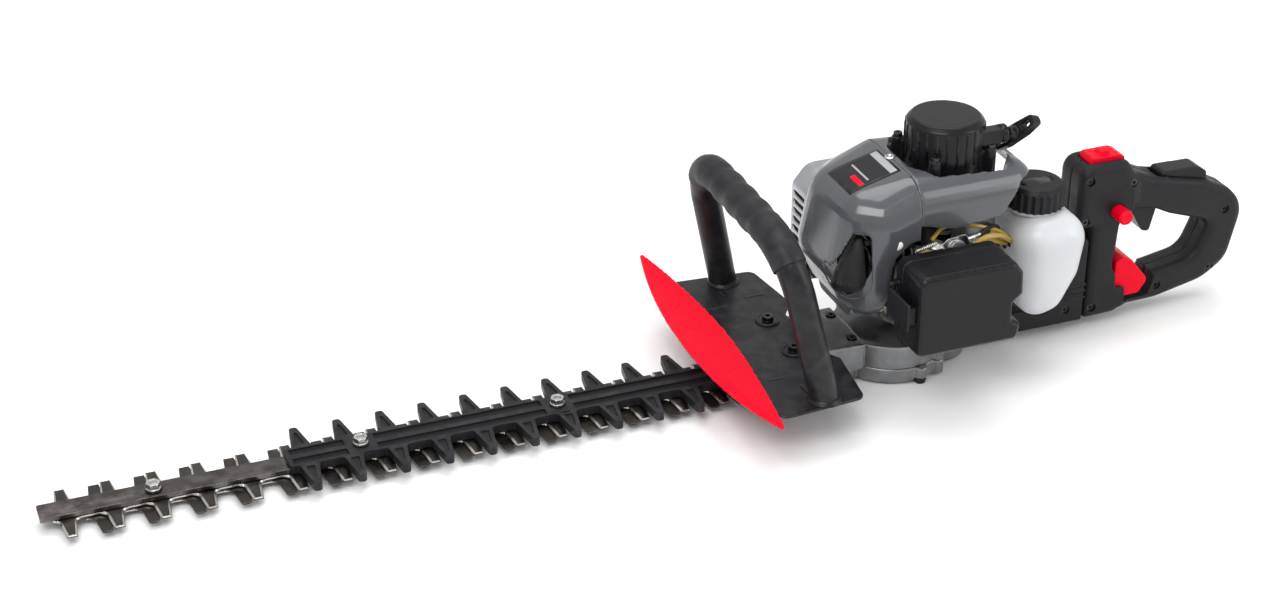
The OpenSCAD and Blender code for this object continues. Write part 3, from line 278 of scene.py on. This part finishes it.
CRISP = {
    "guide_bar": ("bar_steel", 0.4), "tooth_guard": ("black_plastic", 0.5), "blade_bolts": ("steel", 0.4),
    "blade_bushes": ("steel", 0.2), "blade_washers": ("dark_screw", 0.3), "blade_nuts": ("zinc_steel", 0.3),
    "gear_case_screws": ("dark_screw", 0.3), "drive_gear": ("steel", 0.2), "eccentrics": ("steel", 0.3),
    "bearings": ("steel", 0.3), "clutch_drum": ("steel", 0.3), "clutch_housing": ("cast_alloy", 0.6),
    "clutch_shoes": ("heat_steel", 0.3), "rubber_feet": ("rubber", 0.4), "handle_plate": ("black_paint", 0.8),
    "plate_screws": ("dark_screw", 0.3), "front_handle": ("black_paint", 0.3), "front_grip": ("soft_grip",
        0.3),
    "crankshaft": ("steel", 0.4), "connecting_rod": ("steel", 0.3),
    "piston": ("cast_alloy", 0.3), "spark_plug": ("ceramic", 0.3), "flywheel": ("cast_alloy", 0.3),
    "ignition_coil": ("black_plastic", 0.6), "starter_reel": ("black_plastic", 0.3),
        "recoil_spring": ("steel", 0.05),
    "cover_screws": ("dark_screw", 0.3), "carburettor": ("cast_alloy", 0.6),
        "throttle_lever": ("zinc_steel", 0.2),
    "air_filter": ("foam", 0.6), "fuel_lines": ("hose", 0.05), "wiring": ("cable_skin", 0.05),
    "handle_screws": ("dark_screw", 0.3), "muffler": ("heat_steel", 0.8), "upper_blade": ("blade_steel",
        0.25),
    "lower_blade": ("blade_steel", 0.25),
}
MELT = {
    "hand_shield": ("red_plastic", 0.8, 8),
    "gear_case_lower": ("case_alloy", 0.9, 3), "gear_case_upper": ("case_alloy", 0.9, 3),
    "crankcase": ("case_alloy", 1.1, 3), "engine_cylinder": ("case_alloy", 0.9, 2),
    "plug_boot": ("rubber", 0.7, 5), "muffler_cover": ("grey_paint", 0.8, 4),
    "starter_housing": ("black_gloss", 0.8, 4), "pull_handle": ("black_gloss", 0.6, 6),
    "front_shroud": ("grey_plastic", 1.0, 8), "rear_shroud": ("grey_plastic", 1.0, 8),
    "airbox_base": ("black_gloss", 0.8, 5), "airbox_cover": ("black_gloss", 0.7, 6),
    "airbox_clip": ("black_plastic", 0.5, 5), "fuel_tank": ("milky_plastic", 1.2, 4),
    "fuel_cap": ("black_plastic", 0.6, 3), "handle_support": ("black_plastic", 0.8, 5),
    "left_handle_half": ("black_plastic", 0.8, 8), "right_handle_half": ("black_plastic", 0.8, 8),
    "throttle_trigger": ("black_gloss", 0.5, 8), "safety_lever": ("black_gloss", 0.5, 8),
    "stop_switch": ("red_plastic", 0.4, 5), "throttle_lock": ("red_plastic", 0.4, 4),
    "swivel_lock": ("red_plastic", 0.6, 8),
}
for node, (material, width) in CRISP.items():
    crisp(node, material, width)
for node, (material, voxel, passes) in MELT.items():
    melt(node, material, voxel, passes)


# ---- mesh helpers --------------------------------------------------------------
def piece(name, mesh, material, body, slot, *more):
    """Links a mesh as a piece that moves with a body."""
    o = bpy.data.objects.new(name, mesh)
    bpy.context.scene.collection.objects.link(o)
    for key in (material, *more):
        mesh.materials.append(MATERIALS[key])
    for face in mesh.polygons:
        face.use_smooth = True
    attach(o, body)
    return o


def soften(o, width, segments=3, angle=32):
    """Rounds the sharp edges of a piece and keeps its flat faces flat."""
    bevel = o.modifiers.new("bevel", "BEVEL")
    bevel.width = width * MM
    bevel.segments = segments
    bevel.limit_method = "ANGLE"
    bevel.angle_limit = math.radians(angle)
    bevel.use_clamp_overlap = False
    o.modifiers.new("normals", "WEIGHTED_NORMAL").keep_sharp = True
    return o


def fillet(before, corner, after, radius, steps):
    """Points of the arc that rounds one corner of a flat outline."""
    p, q, s = Vector(before), Vector(corner), Vector(after)
    u, v = (p - q).normalized(), (s - q).normalized()
    half = u.angle(v) / 2
    centre = q + (u + v).normalized() * radius / math.sin(half)
    first = q + u * radius / math.tan(half) - centre
    last = q + v * radius / math.tan(half) - centre
    start = math.atan2(first.y, first.x)
    turn = (math.atan2(last.y, last.x) - start + 3 * math.pi) % (2 * math.pi) - math.pi
    return [centre + radius * Vector((math.cos(start + turn * i / steps), math.sin(start + turn * i / steps)))
            for i in range(steps + 1)]


def outline(corners, steps=5):
    """Closed outline whose corners (x, y, radius) are rounded, in mm."""
    points = []
    for i, (x, y, radius) in enumerate(corners):
        before, after = corners[i - 1][:2], corners[(i + 1) % len(corners)][:2]
        points += fillet(before, (x, y), after, radius, steps) if radius else [Vector((x, y))]
    return points


def moved_in(points, distance):
    """The outline moved inwards; distance is a number or a function of a point."""
    moved = []
    for i, q in enumerate(points):
        u = (q - points[i - 1]).normalized()
        v = (points[(i + 1) % len(points)] - q).normalized()
        normal = Vector((-u.y - v.y, u.x + v.x)).normalized()
        d = distance(q) if callable(distance) else distance
        moved.append(q + normal * d / max(0.5, normal.dot(Vector((-v.y, v.x)))))
    return moved


def slab(name, outer, levels, holes=(), turn=None, ground=None):
    """Solid with flat ends. levels lists (height, inset) from one end to the other, in mm.

    turn maps a point (x, y, height) to the object's frame. ground is the index of the level span
    whose faces take the second material.
    """
    turn = turn or (lambda p: p)
    mesh = bmesh.new()
    loops = [outer, *[list(reversed(h)) for h in holes]]
    rings = [[[mesh.verts.new(turn(Vector((p.x, p.y, z))) * MM)
               for p in moved_in(loop, inset if i == 0 else 0.0)]
              for i, loop in enumerate(loops)] for z, inset in levels]
    for k in range(len(levels) - 1):
        for low, high in zip(rings[k], rings[k + 1]):
            for i in range(len(low)):
                j = (i + 1) % len(low)
                face = mesh.faces.new((low[i], low[j], high[j], high[i]))
                face.material_index = 1 if ground == k else 0
    for ring in (rings[0], rings[-1]):
        edges = [mesh.edges.get((loop[i - 1], loop[i])) for loop in ring for i in range(len(loop))]
        bmesh.ops.triangle_fill(mesh, edges=edges, use_beauty=True)
    bmesh.ops.recalc_face_normals(mesh, faces=mesh.faces)
    data = bpy.data.meshes.new(name)
    mesh.to_mesh(data)
    mesh.free()
    return data


def circle(x, y, radius, steps=32):
    return [Vector((x + radius * math.cos(2 * math.pi * i / steps),
        y + radius * math.sin(2 * math.pi * i / steps)))
            for i in range(steps)]


def lathe(name, profile, place, axis=(0, 0, 1), steps=48):
    """Turned solid: profile lists (radius, height) in mm, heights run along axis from place."""
    mesh = bmesh.new()
    spin = Vector((0, 0, 1)).rotation_difference(Vector(axis)).to_matrix()
    rings = []
    for radius, height in profile:
        if radius < 1e-4:
            rings.append([mesh.verts.new((Vector(place) + spin @ Vector((0, 0, height))) * MM)])
            continue
        rings.append([mesh.verts.new((Vector(place) + spin @ Vector((
            radius * math.cos(2 * math.pi * i / steps), radius * math.sin(2 * math.pi * i / steps),
                height))) * MM)
            for i in range(steps)])
    for low, high in zip(rings, rings[1:]):
        for i in range(steps):
            j = (i + 1) % steps
            corners = [low[i % len(low)], low[j % len(low)], high[j % len(high)], high[i % len(high)]]
            unique = list(dict.fromkeys(corners))
            if len(unique) > 2:
                mesh.faces.new(unique)
    for ring in (rings[0], rings[-1]):
        if len(ring) > 2:
            mesh.faces.new(ring)
    bmesh.ops.recalc_face_normals(mesh, faces=mesh.faces)
    data = bpy.data.meshes.new(name)
    mesh.to_mesh(data)
    mesh.free()
    return data


def smooth_path(points, steps=8):
    """Catmull-Rom curve through points given in mm."""
    points = [Vector(p) for p in points]
    ends = [2 * points[0] - points[1], *points, 2 * points[-1] - points[-2]]
    path = []
    for a, b, c, d in zip(ends, ends[1:], ends[2:], ends[3:]):
        for i in range(steps):
            t = i / steps
            path.append(0.5 * (2 * b + (c - a) * t + (2 * a - 5 * b + 4 * c - d) * t * t
                               + (3 * b - a - 3 * c + d) * t ** 3))
    return [*path, points[-1]]


def tube(name, path, radius, steps=24, flat_ends=None):
    """Closed tube along a path in mm; radius is a number or a function of the share of the way."""
    mesh = bmesh.new()
    rings = []
    side = None
    for i, p in enumerate(path):
        along = (path[min(i + 1, len(path) - 1)] - path[max(i - 1, 0)]).normalized()
        if flat_ends and i in (0, len(path) - 1):
            along = Vector(flat_ends) * (1 if i == 0 else -1)
        if side is None:
            side = along.orthogonal().normalized()
        side = (side - along * side.dot(along)).normalized()
        up = along.cross(side)
        r = radius(i / (len(path) - 1)) if callable(radius) else radius
        rings.append([mesh.verts.new((p + r * (math.cos(2 * math.pi * k / steps) * side
                                               + math.sin(2 * math.pi * k / steps) * up)) * MM)
                      for k in range(steps)])
    for low, high in zip(rings, rings[1:]):
        for k in range(steps):
            j = (k + 1) % steps
            mesh.faces.new((low[k], low[j], high[j], high[k]))
    mesh.faces.new(reversed(rings[0]))
    mesh.faces.new(rings[-1])
    bmesh.ops.recalc_face_normals(mesh, faces=mesh.faces)
    data = bpy.data.meshes.new(name)
    mesh.to_mesh(data)
    mesh.free()
    return data


# ---- cutter ----------------------------------------------------------------------
PITCH = 35.0
FIRST_GUARD = -313.0
BLADE_START = FIRST_GUARD + 20.6 - 6 * PITCH
GEAR_X = 187.75
BOLTS = [FIRST_GUARD - 118 + 162.5 * i for i in range(3)]


def tooth(x):
    return [(x - 11, 10, 0), (x - 6.5, 13, 3), (x - 4, 33, 0.6), (x + 4, 33, 0.6), (x + 6.5, 13, 3),
        (x + 11, 10, 0)]


def blade(name, first, shift, z, levels, ground):
    """One cutting blade with ground flanks on its teeth."""
    teeth = [BLADE_START + shift + PITCH * i for i in range(first, 16)]
    front = teeth[0] - (14 if first == 0 else 17)
    eye = GEAR_X + shift
    half = [(front, 4, 0), (front + 5, 10, 0)]
    for x in teeth:
        half += tooth(x)
    half.append((60, 10, 0))
    start = math.degrees(math.asin(10 / 33.5))
    ends = [(eye + 33.5 * math.cos(math.radians(a)), 33.5 * math.sin(math.radians(a)), 0)
            for a in [start - 180 + (360 - 2 * start) * i / 40 for i in range(41)]]
    outer = outline([(x, -y, r) for x, y, r in half] + ends + half[::-1], 4)
    slots = [outline([(x + shift - 13.2, -4.5, 4.4), (x + shift + 13.2, -4.5, 4.4),
                      (x + shift + 13.2, 4.5, 4.4), (x + shift - 13.2, 4.5, 4.4)], 5) for x in BOLTS]
    grind = (lambda q: 1.7 if abs(q.y) > 11.5 else 0.0)
    spans = [(z + height, (grind if bevel else 0.0)) for height, bevel in levels]
    mesh = slab(name, outer, spans, [circle(eye, 0, 28.0), *slots], ground=ground)
    o = piece(name, mesh, "blade_steel", name, "blade_steel", "ground_steel")
    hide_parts(name)
    return soften(o, 0.12, 2, 50)


blade("upper_blade", 0, 4.6, 7.5, [(0.01, False), (1.0, False), (2.19, True)], 1)
blade("lower_blade", 1, -4.6, 5.0, [(0.01, True), (1.2, False), (2.19, False)], 0)


# ---- fuel tank: broad shoulders, tapering towards the ground ---------------------------
def ball_hull(name, balls, voxel, passes):
    """Smooth skin around balls (x, y, z, radius), in mm."""
    mesh = bmesh.new()
    for x, y, z, r in balls:
        bmesh.ops.create_icosphere(mesh, subdivisions=4, radius=r * MM,
            matrix=Matrix.Translation(Vector((x, y, z)) * MM))
    hull = bmesh.ops.convex_hull(mesh, input=mesh.verts)
    bmesh.ops.delete(mesh, geom=hull["geom_interior"], context="VERTS")
    rough = bpy.data.meshes.new(name)
    mesh.to_mesh(rough)
    mesh.free()
    o = bpy.data.objects.new(name, rough)
    bpy.context.scene.collection.objects.link(o)
    skin = o.modifiers.new("skin", "REMESH")
    skin.mode = "VOXEL"
    skin.voxel_size = voxel * MM
    soft = o.modifiers.new("soft", "SMOOTH")
    soft.factor = 0.5
    soft.iterations = passes
    made = bpy.data.meshes.new_from_object(o.evaluated_get(bpy.context.evaluated_depsgraph_get()))
    bpy.data.objects.remove(o)
    bpy.data.meshes.remove(rough)
    return made


TANK = [(x, y, z, r) for x, z, r in ((299, 112, 22.5), (315, 113, 22.5), (300, 86, 22), (311, 90, 23),
    (299, 62, 17), (304, 66, 19))
        for y in (-46, -4)]
tank = piece("tank_shell", ball_hull("tank_shell", TANK, 1.3, 14), "milky_plastic", "frame", "milky_plastic")
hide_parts("fuel_tank")
piece("tank_neck", lathe("tank_neck", [(0, 128), (19, 128), (19, 137), (0, 137)], (303, -25, 0)),
    "milky_plastic", "frame", "milky_plastic")


# ---- plug boot in its teardrop pocket ----------------------------------------------------
NOSE = [(x, s * y, z, r - 0.8) for x, y, z, r in ((152, 22, 148, 30), (146, 24, 112, 30),
    (152, 26, 94, 28), (160, 32, 150, 27),
                                                (188, 32, 161, 27), (188, 32, 95, 27)) for s in (-1, 1)]
panel = ball_hull("boot_panel", NOSE, 0.9, 3)
mesh = bmesh.new()
mesh.from_mesh(panel)


def outside_panel(face):
    """True away from the pocket and inside the teardrop that the boot comes through."""
    p = face.calc_center_median() / MM
    if p.y > -12 or p.x > 146 or not 84 < p.z < 154:
        return True
    t = (p.z - 92) / 56
    if not 0 < t < 1:
        return False
    middle = 127.5 + 8 * t
    width = 12.5 * math.sin(math.pi * min(1.0, 0.16 + 0.84 * (1 - t)) ** 0.8) ** 0.75 if t < 1 else 0.0
    return abs(p.x - middle) < width


bmesh.ops.delete(mesh, geom=[f for f in mesh.faces if outside_panel(f)], context="FACES")
mesh.to_mesh(panel)
mesh.free()
lip = piece("boot_panel", panel, "grey_plastic", "frame", "grey_plastic")
shell = lip.modifiers.new("shell", "SOLIDIFY")
shell.thickness = 1.6 * MM
shell.offset = -1.0
pocket = outline([(113, 101, 10), (128, 89, 12), (141, 101, 10), (139, 146, 3), (132, 148, 3)], 5)
piece("boot_pocket", slab("boot_pocket", pocket, [(35.0, 0), (36.5, 0)],
    turn=lambda p: Vector((p.x, -p.z, p.y))),
      "dark_label", "frame", "black_plastic")
piece("boot_cone", lathe("boot_cone", [(0, 0), (2.6, 0.6), (4.6, 5), (8.6, 20), (11.2, 32),
    (11.4, 37), (9.8, 41.5), (6, 44), (0, 45)],
                                (135.5, -42, 143), (-0.2, -0.1, -1), 40), "rubber", "frame", "rubber")
for i in range(4):
    turn = math.radians(200 + 38 * i)
    start = Vector((135 + 3 * math.cos(turn), -42 + 3 * math.sin(turn), 138))
    end = Vector((127.6 + 11.2 * math.cos(turn), -46 + 11.2 * math.sin(turn), 108))
    piece(f"boot_rib_{i + 1}", tube(f"boot_rib_{i + 1}", smooth_path([start, (start + end) / 2, end]), 0.8,
        10), "rubber", "frame", "rubber")


# ---- front slope: data plate without lettering ---------------------------------------
def plate(name, centre, size, thick, material, target, grid=14):
    """Thin plate wrapped onto the CAD node below it."""
    mesh = bmesh.new()
    bmesh.ops.create_grid(mesh, x_segments=grid, y_segments=grid, size=0.5)
    for v in mesh.verts:
        v.co = (Vector(centre) + Vector((v.co.x * size[0], v.co.y * size[1], 0))) * MM
    data = bpy.data.meshes.new(name)
    mesh.to_mesh(data)
    mesh.free()
    o = piece(name, data, material, "frame", "black_plastic")
    wrap = o.modifiers.new("wrap", "SHRINKWRAP")
    wrap.wrap_method = "PROJECT"
    wrap.use_project_z = True
    wrap.use_negative_direction = True
    wrap.use_positive_direction = False
    wrap.target = NODES[target]
    wrap.offset = 0.12 * MM
    body = o.modifiers.new("body", "SOLIDIFY")
    body.thickness = thick * MM
    body.offset = 1.0
    return o


plate("data_plate", (157, -2, 230), (44, 42), 0.3, "dark_label", "front_shroud")
plate("data_plate_band", (174, -2, 230), (6, 38), 0.55, "label", "front_shroud")
plate("data_plate_stripe", (146.5, -11, 230), (4.5, 18), 0.55, "red_plastic", "front_shroud")
plate("data_plate_code", (153.5, -2, 230), (1.6, 30), 0.5, "label", "front_shroud")

# screw in the shroud's top and one on its side
for name, place, axis in (("shroud_screw", (181.5, 2, 187.0), (-0.1, 0, 1)), ("side_screw",
    (220, -49, 172.4), (0, -0.8, 0.6))):
    o = piece(name, lathe(name, [(0, -2), (4.4, -2), (4.4, 0.5), (3.6, 1.1), (2.6, 1.2), (2.2, 0.2), (0,
        0.2)], place, axis, 32),
              "zinc_steel" if name == "shroud_screw" else "dark_screw", "frame", "dark_screw")
    soften(o, 0.2, 2)

# ---- starter ----------------------------------------------------------------------------
STARTER = (229, 0)
piece("starter_disc", lathe("starter_disc", [(0, 213.5), (25.4, 213.5), (25.4, 217.2), (24.9, 217.7),
    (0, 217.7)], (*STARTER, 0)),
          "black_gloss", "frame", "black_gloss")
piece("starter_badge", lathe("starter_badge", [(0, 217), (22.2, 217), (22.2, 217.9), (21.8, 218.0),
    (0, 218.0)], (*STARTER, 0)),
          "dark_label", "frame", "black_gloss")
for i in range(24):
    angle = math.radians(15 * i + 7)
    mesh = lathe("starter_rib", [(0, 184), (1.1, 184), (1.1, 211), (0.5, 213), (0, 213)],
                 (STARTER[0] + 32.0 * math.cos(angle), STARTER[1] + 32.0 * math.sin(angle), 0), steps=10)
    piece(f"starter_rib_{i + 1}", mesh, "black_gloss", "frame", "black_gloss")

# ---- hoses and cables with room for their fittings ----------------------------------------
HOSES = [
    [(279, -36, 110), (270, -42, 118), (256, -52, 128), (240, -57, 131), (226, -58, 122), (216, -56, 108),
        (213.6, -56, 102)],
    [(279, -30, 106), (268, -36, 112), (252, -46, 122), (236, -52, 124), (224, -56, 112), (213.6, -56, 91)],
]
for i, path in enumerate(HOSES):
    o = piece(f"fuel_hose_{i + 1}", tube(f"fuel_hose_{i + 1}", smooth_path(path), 2.3, 16), "hose",
        "frame", "hose")
    if i == 0:
        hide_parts("fuel_lines")
for i, (x, y, z) in enumerate(((279.2, -36, 110), (279.2, -28, 105))):
    piece(f"tank_grommet_{i + 1}", lathe(f"tank_grommet_{i + 1}", [(2.4, -2.5), (5.2, -2.5), (5.6, -1),
        (5.6, 0.6), (4.6, 1.6), (3.2, 2.6), (2.4, 2.6)],
                                         (x, y, z), (-0.9, -0.35, 0.2), 28), "rubber", "frame", "rubber")
WIRES = [
    ([(182.5, -37.5, 133), (168, -42, 139), (152, -44, 141), (140.5, -42.5, 137.5)], 2.4, "rubber"),
    ([(182, -40, 140), (173, -44, 135), (165, -46, 122), (160, -44, 104), (157, -42, 84), (160, -42, 68),
        (176, -46, 60),
      (200, -50, 57), (228, -48, 55), (252, -36, 47), (262, -22, 38), (268, -12, 33), (278, -10, 32)], 2.6,
          "cable_skin"),
    ([(186, -42, 127), (178, -42, 127), (171, -41, 122), (166, -40, 112), (163, -38, 100), (162, -37, 84),
        (168, -38, 72),
      (190, -42, 66), (224, -44, 61), (250, -32, 52), (262, -16, 41), (270, -7, 34), (278, -5, 32)], 1.5,
          "rubber"),
]
for i, (path, radius, material) in enumerate(WIRES):
    o = piece(f"cable_{i + 1}", tube(f"cable_{i + 1}", smooth_path(path), radius, 16), material, "frame",
        "cable_skin")
    if i == 0:
        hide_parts("wiring")
for i, (place, axis) in enumerate((((162, -45, 113), (0.3, 0.1, 1)), ((158.2, -43, 94), (0.15, 0.1, 1)),
    ((157.2, -41.5, 79), (0, 0, 1)))):
    piece(f"cable_connector_{i + 1}", lathe(f"cable_connector_{i + 1}", [(0, -6), (2.8, -6), (3.4, -5),
        (3.4, -1), (3.0, -0.5), (3.0, 0.5), (3.4, 1), (3.4, 5), (2.8, 6), (0, 6)],
                                            place, axis, 24), "brass", "frame", "zinc_steel")
piece("cable_clip", lathe("cable_clip", [(0, 0), (4.6, 0), (5.2, 0.8), (5.2, 11), (4.4, 12.4),
    (0, 12.6)], (170, -49, 138), (-0.75, -0.6, 0.12), 28),
          "ceramic", "frame", "ceramic")

# ---- carburettor trim ---------------------------------------------------------------------
for name, profile, place, axis, material in (
        ("choke_knob", [(0, 0), (4.2, 0), (4.2, 3), (2.0, 3.4), (2.0, 9), (4.8, 9.4), (4.8, 12), (0, 12)],
            (212, -60, 112), (0.1, -0.2, 1), "zinc_steel"),
        ("idle_screw", [(0, 0), (1.8, 0), (1.8, 12), (3.4, 12), (3.4, 15), (0, 15)], (203, -60, 108), (0.2,
            -0.35, 1), "brass"),
        ("primer_cap", [(0, 0), (6.4, 0), (6.4, 2.2), (5.6, 4.6), (3.2, 6.2), (0, 6.8)], (192, -58, 111),
            (-0.3, -0.4, 1), "zinc_steel"),
        ("fuel_joint", [(0, -5), (2.6, -5), (3.2, -3), (3.2, 3), (2.6, 5), (0, 5)], (213, -56, 102), (1, 0,
            0.1), "brass")):
    soften(piece(name, lathe(name, profile, place, axis, 28), material, "frame", "zinc_steel"), 0.25, 2)
bracket = outline([(196, 116, 3), (222, 116, 3), (228, 128, 4), (222, 139, 3), (206, 137, 3), (196, 128,
    3)], 4)
soften(piece("throttle_bracket", slab("throttle_bracket", bracket, [(-59, 0), (-57.6, 0)],
    [circle(206, 124, 3.2, 20), circle(218, 131, 2.2, 16)],
                                      turn=lambda p: Vector((p.x, p.z, p.y))), "zinc_steel", "frame",
                                          "zinc_steel"), 0.3, 2)
for name, profile, place, axis, material in (
        ("cable_drum", [(0, 0), (7.5, 0), (7.5, 1.2), (5.6, 1.6), (5.6, 3.4), (7.5, 3.8), (7.5, 5), (2.4,
            5), (2.4, 8), (0, 8)], (213, -59, 128), (0.1, -1, 0.15), "cast_alloy"),
        ("throttle_cap", [(0, 0), (6.8, 0), (7.2, 1), (7.2, 9), (5.4, 11.5), (3, 12.4), (0, 12.6)], (199,
            -52, 122), (-0.15, -0.35, 1), "zinc_steel"),
        ("cable_end", [(0, 0), (2.6, 0), (2.6, 7), (1.8, 9), (1.8, 14), (0, 14)], (224, -57, 133), (1,
            0.25, 0.05), "steel"),
        ("air_screw", [(0, 0), (2.2, 0), (2.2, 8), (4.2, 8.4), (4.2, 12), (0, 12)], (189, -56, 118), (-0.2,
            -0.4, 1), "brass")):
    soften(piece(name, lathe(name, profile, place, axis, 28), material, "frame", "zinc_steel"), 0.25, 2)
coil = [Vector((178 + 18 * i / 120 + 1.4, -55 + 2.6 * math.cos(i * 0.62),
    129 + 2.6 * math.sin(i * 0.62) + 4 * i / 120)) for i in range(121)]
piece("return_spring", tube("return_spring", coil, 0.55, 8), "zinc_steel", "frame", "zinc_steel")
piece("throttle_cable", tube("throttle_cable", smooth_path([(238, -53.5, 133.6), (252, -46, 134), (266,
    -34, 124), (274, -22, 104), (277, -14, 70), (279, -12, 40)]), 1.9, 14),
      "rubber", "frame", "cable_skin")
piece("breather_hose", tube("breather_hose", smooth_path([(196, -50, 134), (208, -46, 141), (226, -46,
    141), (244, -48, 136), (262, -42, 126), (279, -33, 112)]), 1.7, 14),
      "hose", "frame", "hose")
piece("intake_gasket", slab("intake_gasket", outline([(172, 84, 3), (205, 84, 3), (205, 112, 3), (172,
    112, 3)], 4), [(-47.4, 0), (-45.6, 0)],
          turn=lambda p: Vector((p.x, p.z, p.y))), "gasket", "frame", "rubber")

# ---- air filter box ---------------------------------------------------------------------------
def box_panel(name, x0, x1, z0, z1, y0, y1, step, material="black_gloss"):
    """Raised panel on the face of the box cover, with sloped sides."""
    ring = outline([(x0, z0, 6), (x1, z0, 6), (x1, z1, 6), (x0, z1, 6)], 6)
    mesh = slab(name, ring, [(-y0, 0), (-y0 + (y0 - y1) * 0.6, 0.3), (-y1, step)],
        turn=lambda p: Vector((p.x, -p.z, p.y)))
    return soften(piece(name, mesh, material, "airbox_cover", "black_gloss"), 0.5, 3)


box_panel("box_panel_main", 168, 240, 74, 124, -108, -109.9, 2.0)
box_panel("box_panel_rib", 163, 165.5, 72, 126, -108, -109.6, 0.6)
for i, x in enumerate((188, 204, 220)):
    box_panel(f"box_slot_{i + 1}", x, x + 10, 128.2, 131.2, -107, -109.2, 0.3)

# ---- fuel cap ----------------------------------------------------------------------------------
CAP = (303, -25)
piece("cap_pad", lathe("cap_pad", [(0, 154), (13.5, 154), (13.5, 156.2), (12.8, 156.9), (0, 156.9)], (*CAP,
    0), steps=8), "black_gloss", "fuel_cap", "black_plastic")
piece("tank_neck_ring", lathe("tank_neck_ring", [(19.2, 133.5), (21.5, 133.5), (22.3, 134.2),
    (22.3, 136.4), (21.5, 137.0), (19.2, 137.0)], (*CAP, 0)),
          "milky_plastic", "frame", "milky_plastic")

# ---- handle plate: pressed marks and screw washers -----------------------------------------------
for i, (x, y, length, turn) in enumerate(((58, -62, 16, 0), (58, 62, 16, 0), (72, -84, 12, 90), (72, 84,
    12, 90), (96, -70, 18, 0), (96, 70, 18, 0))):
    a = math.radians(turn)
    d = Vector((math.cos(a), math.sin(a))) * length / 2
    corners = [(x - d.x - d.y / 6, y - d.y - d.x / 6, 1), (x + d.x - d.y / 6, y + d.y - d.x / 6, 1),
               (x + d.x + d.y / 6, y + d.y + d.x / 6, 1), (x - d.x + d.y / 6, y - d.y + d.x / 6, 1)]
    mesh = slab(f"plate_mark_{i + 1}", outline(corners, 4), [(40.8, 0), (41.25, 0.1), (41.45, 0.5)])
    piece(f"plate_mark_{i + 1}", mesh, "black_paint", "frame", "black_paint")
for i, y in enumerate((-26.5, 26.5)):
    mesh = lathe(f"plate_washer_{i + 1}", [(4.9, 40.9), (10.5, 40.9), (10.5, 41.9), (9.6, 42.5),
        (8.3, 42.7), (8.1, 42.3), (4.9, 42.3)], (89, y, 0), steps=40)
    piece(f"plate_washer_{i + 1}", mesh, "black_paint", "frame", "black_paint")
for i, y in enumerate((-103, 103)):
    mesh = lathe(f"leg_weld_{i + 1}", [(11.8, 40.9), (14.6, 40.9), (14.0, 41.8), (12.9, 43.0), (12.0,
        44.8), (11.6, 44.8)], (81, y, 0), steps=48)
    piece(f"leg_weld_{i + 1}", mesh, "black_paint", "frame", "black_paint")


# ---- stage -------------------------------------------------------------------
def make_stage():
    mesh = bpy.data.meshes.new("floor")
    size = 6.0
    mesh.from_pydata([(-size, -size, 0), (size, -size, 0), (size, size, 0), (-size, size, 0)], [],
        [(0, 1, 2, 3)])
    floor = bpy.data.objects.new("floor", mesh)
    s = Shader("floor")
    s.join(s.ramp(s.noise(3, 2), (0.87, 0.87, 0.87), (0.89, 0.89, 0.89)), s.bsdf.inputs["Base Color"])
    s.bsdf.inputs["Roughness"].default_value = 0.7
    mesh.materials.append(s.mat)
    bpy.context.scene.collection.objects.link(floor)


def softbox(name, place, target, size, power):
    data = bpy.data.lights.new(name, "AREA")
    data.shape = "RECTANGLE"
    data.size, data.size_y = size
    data.energy = power
    lamp = bpy.data.objects.new(name, data)
    lamp.location = place
    lamp.rotation_euler = (Vector(target) - Vector(place)).to_track_quat("-Z", "Y").to_euler()
    bpy.context.scene.collection.objects.link(lamp)


make_stage()
middle = (0.1, 0.0, 0.08)
softbox("key", (-0.9, -1.0, 1.9), middle, (1.4, 1.0), 26)
softbox("top", (0.3, 0.5, 2.2), middle, (1.8, 1.2), 24)
softbox("side", (1.6, -1.1, 0.9), middle, (0.9, 1.3), 10)
world = bpy.data.worlds.new("studio")
world.use_nodes = True
world.node_tree.nodes["Background"].inputs["Color"].default_value = (1, 1, 1, 1)
world.node_tree.nodes["Background"].inputs["Strength"].default_value = 0.72
bpy.context.scene.world = world
bpy.context.scene.view_settings.view_transform = "Standard"

camera_data = bpy.data.cameras.new("camera")
camera_data.lens = 66.29
camera_data.sensor_width = 36.0
camera = bpy.data.objects.new("camera", camera_data)
camera.location = (-0.624, -1.528, 1.009)
camera.rotation_euler = (math.radians(60.9), 0.0, math.radians(-21.08))
bpy.context.scene.collection.objects.link(camera)
bpy.context.scene.camera = camera
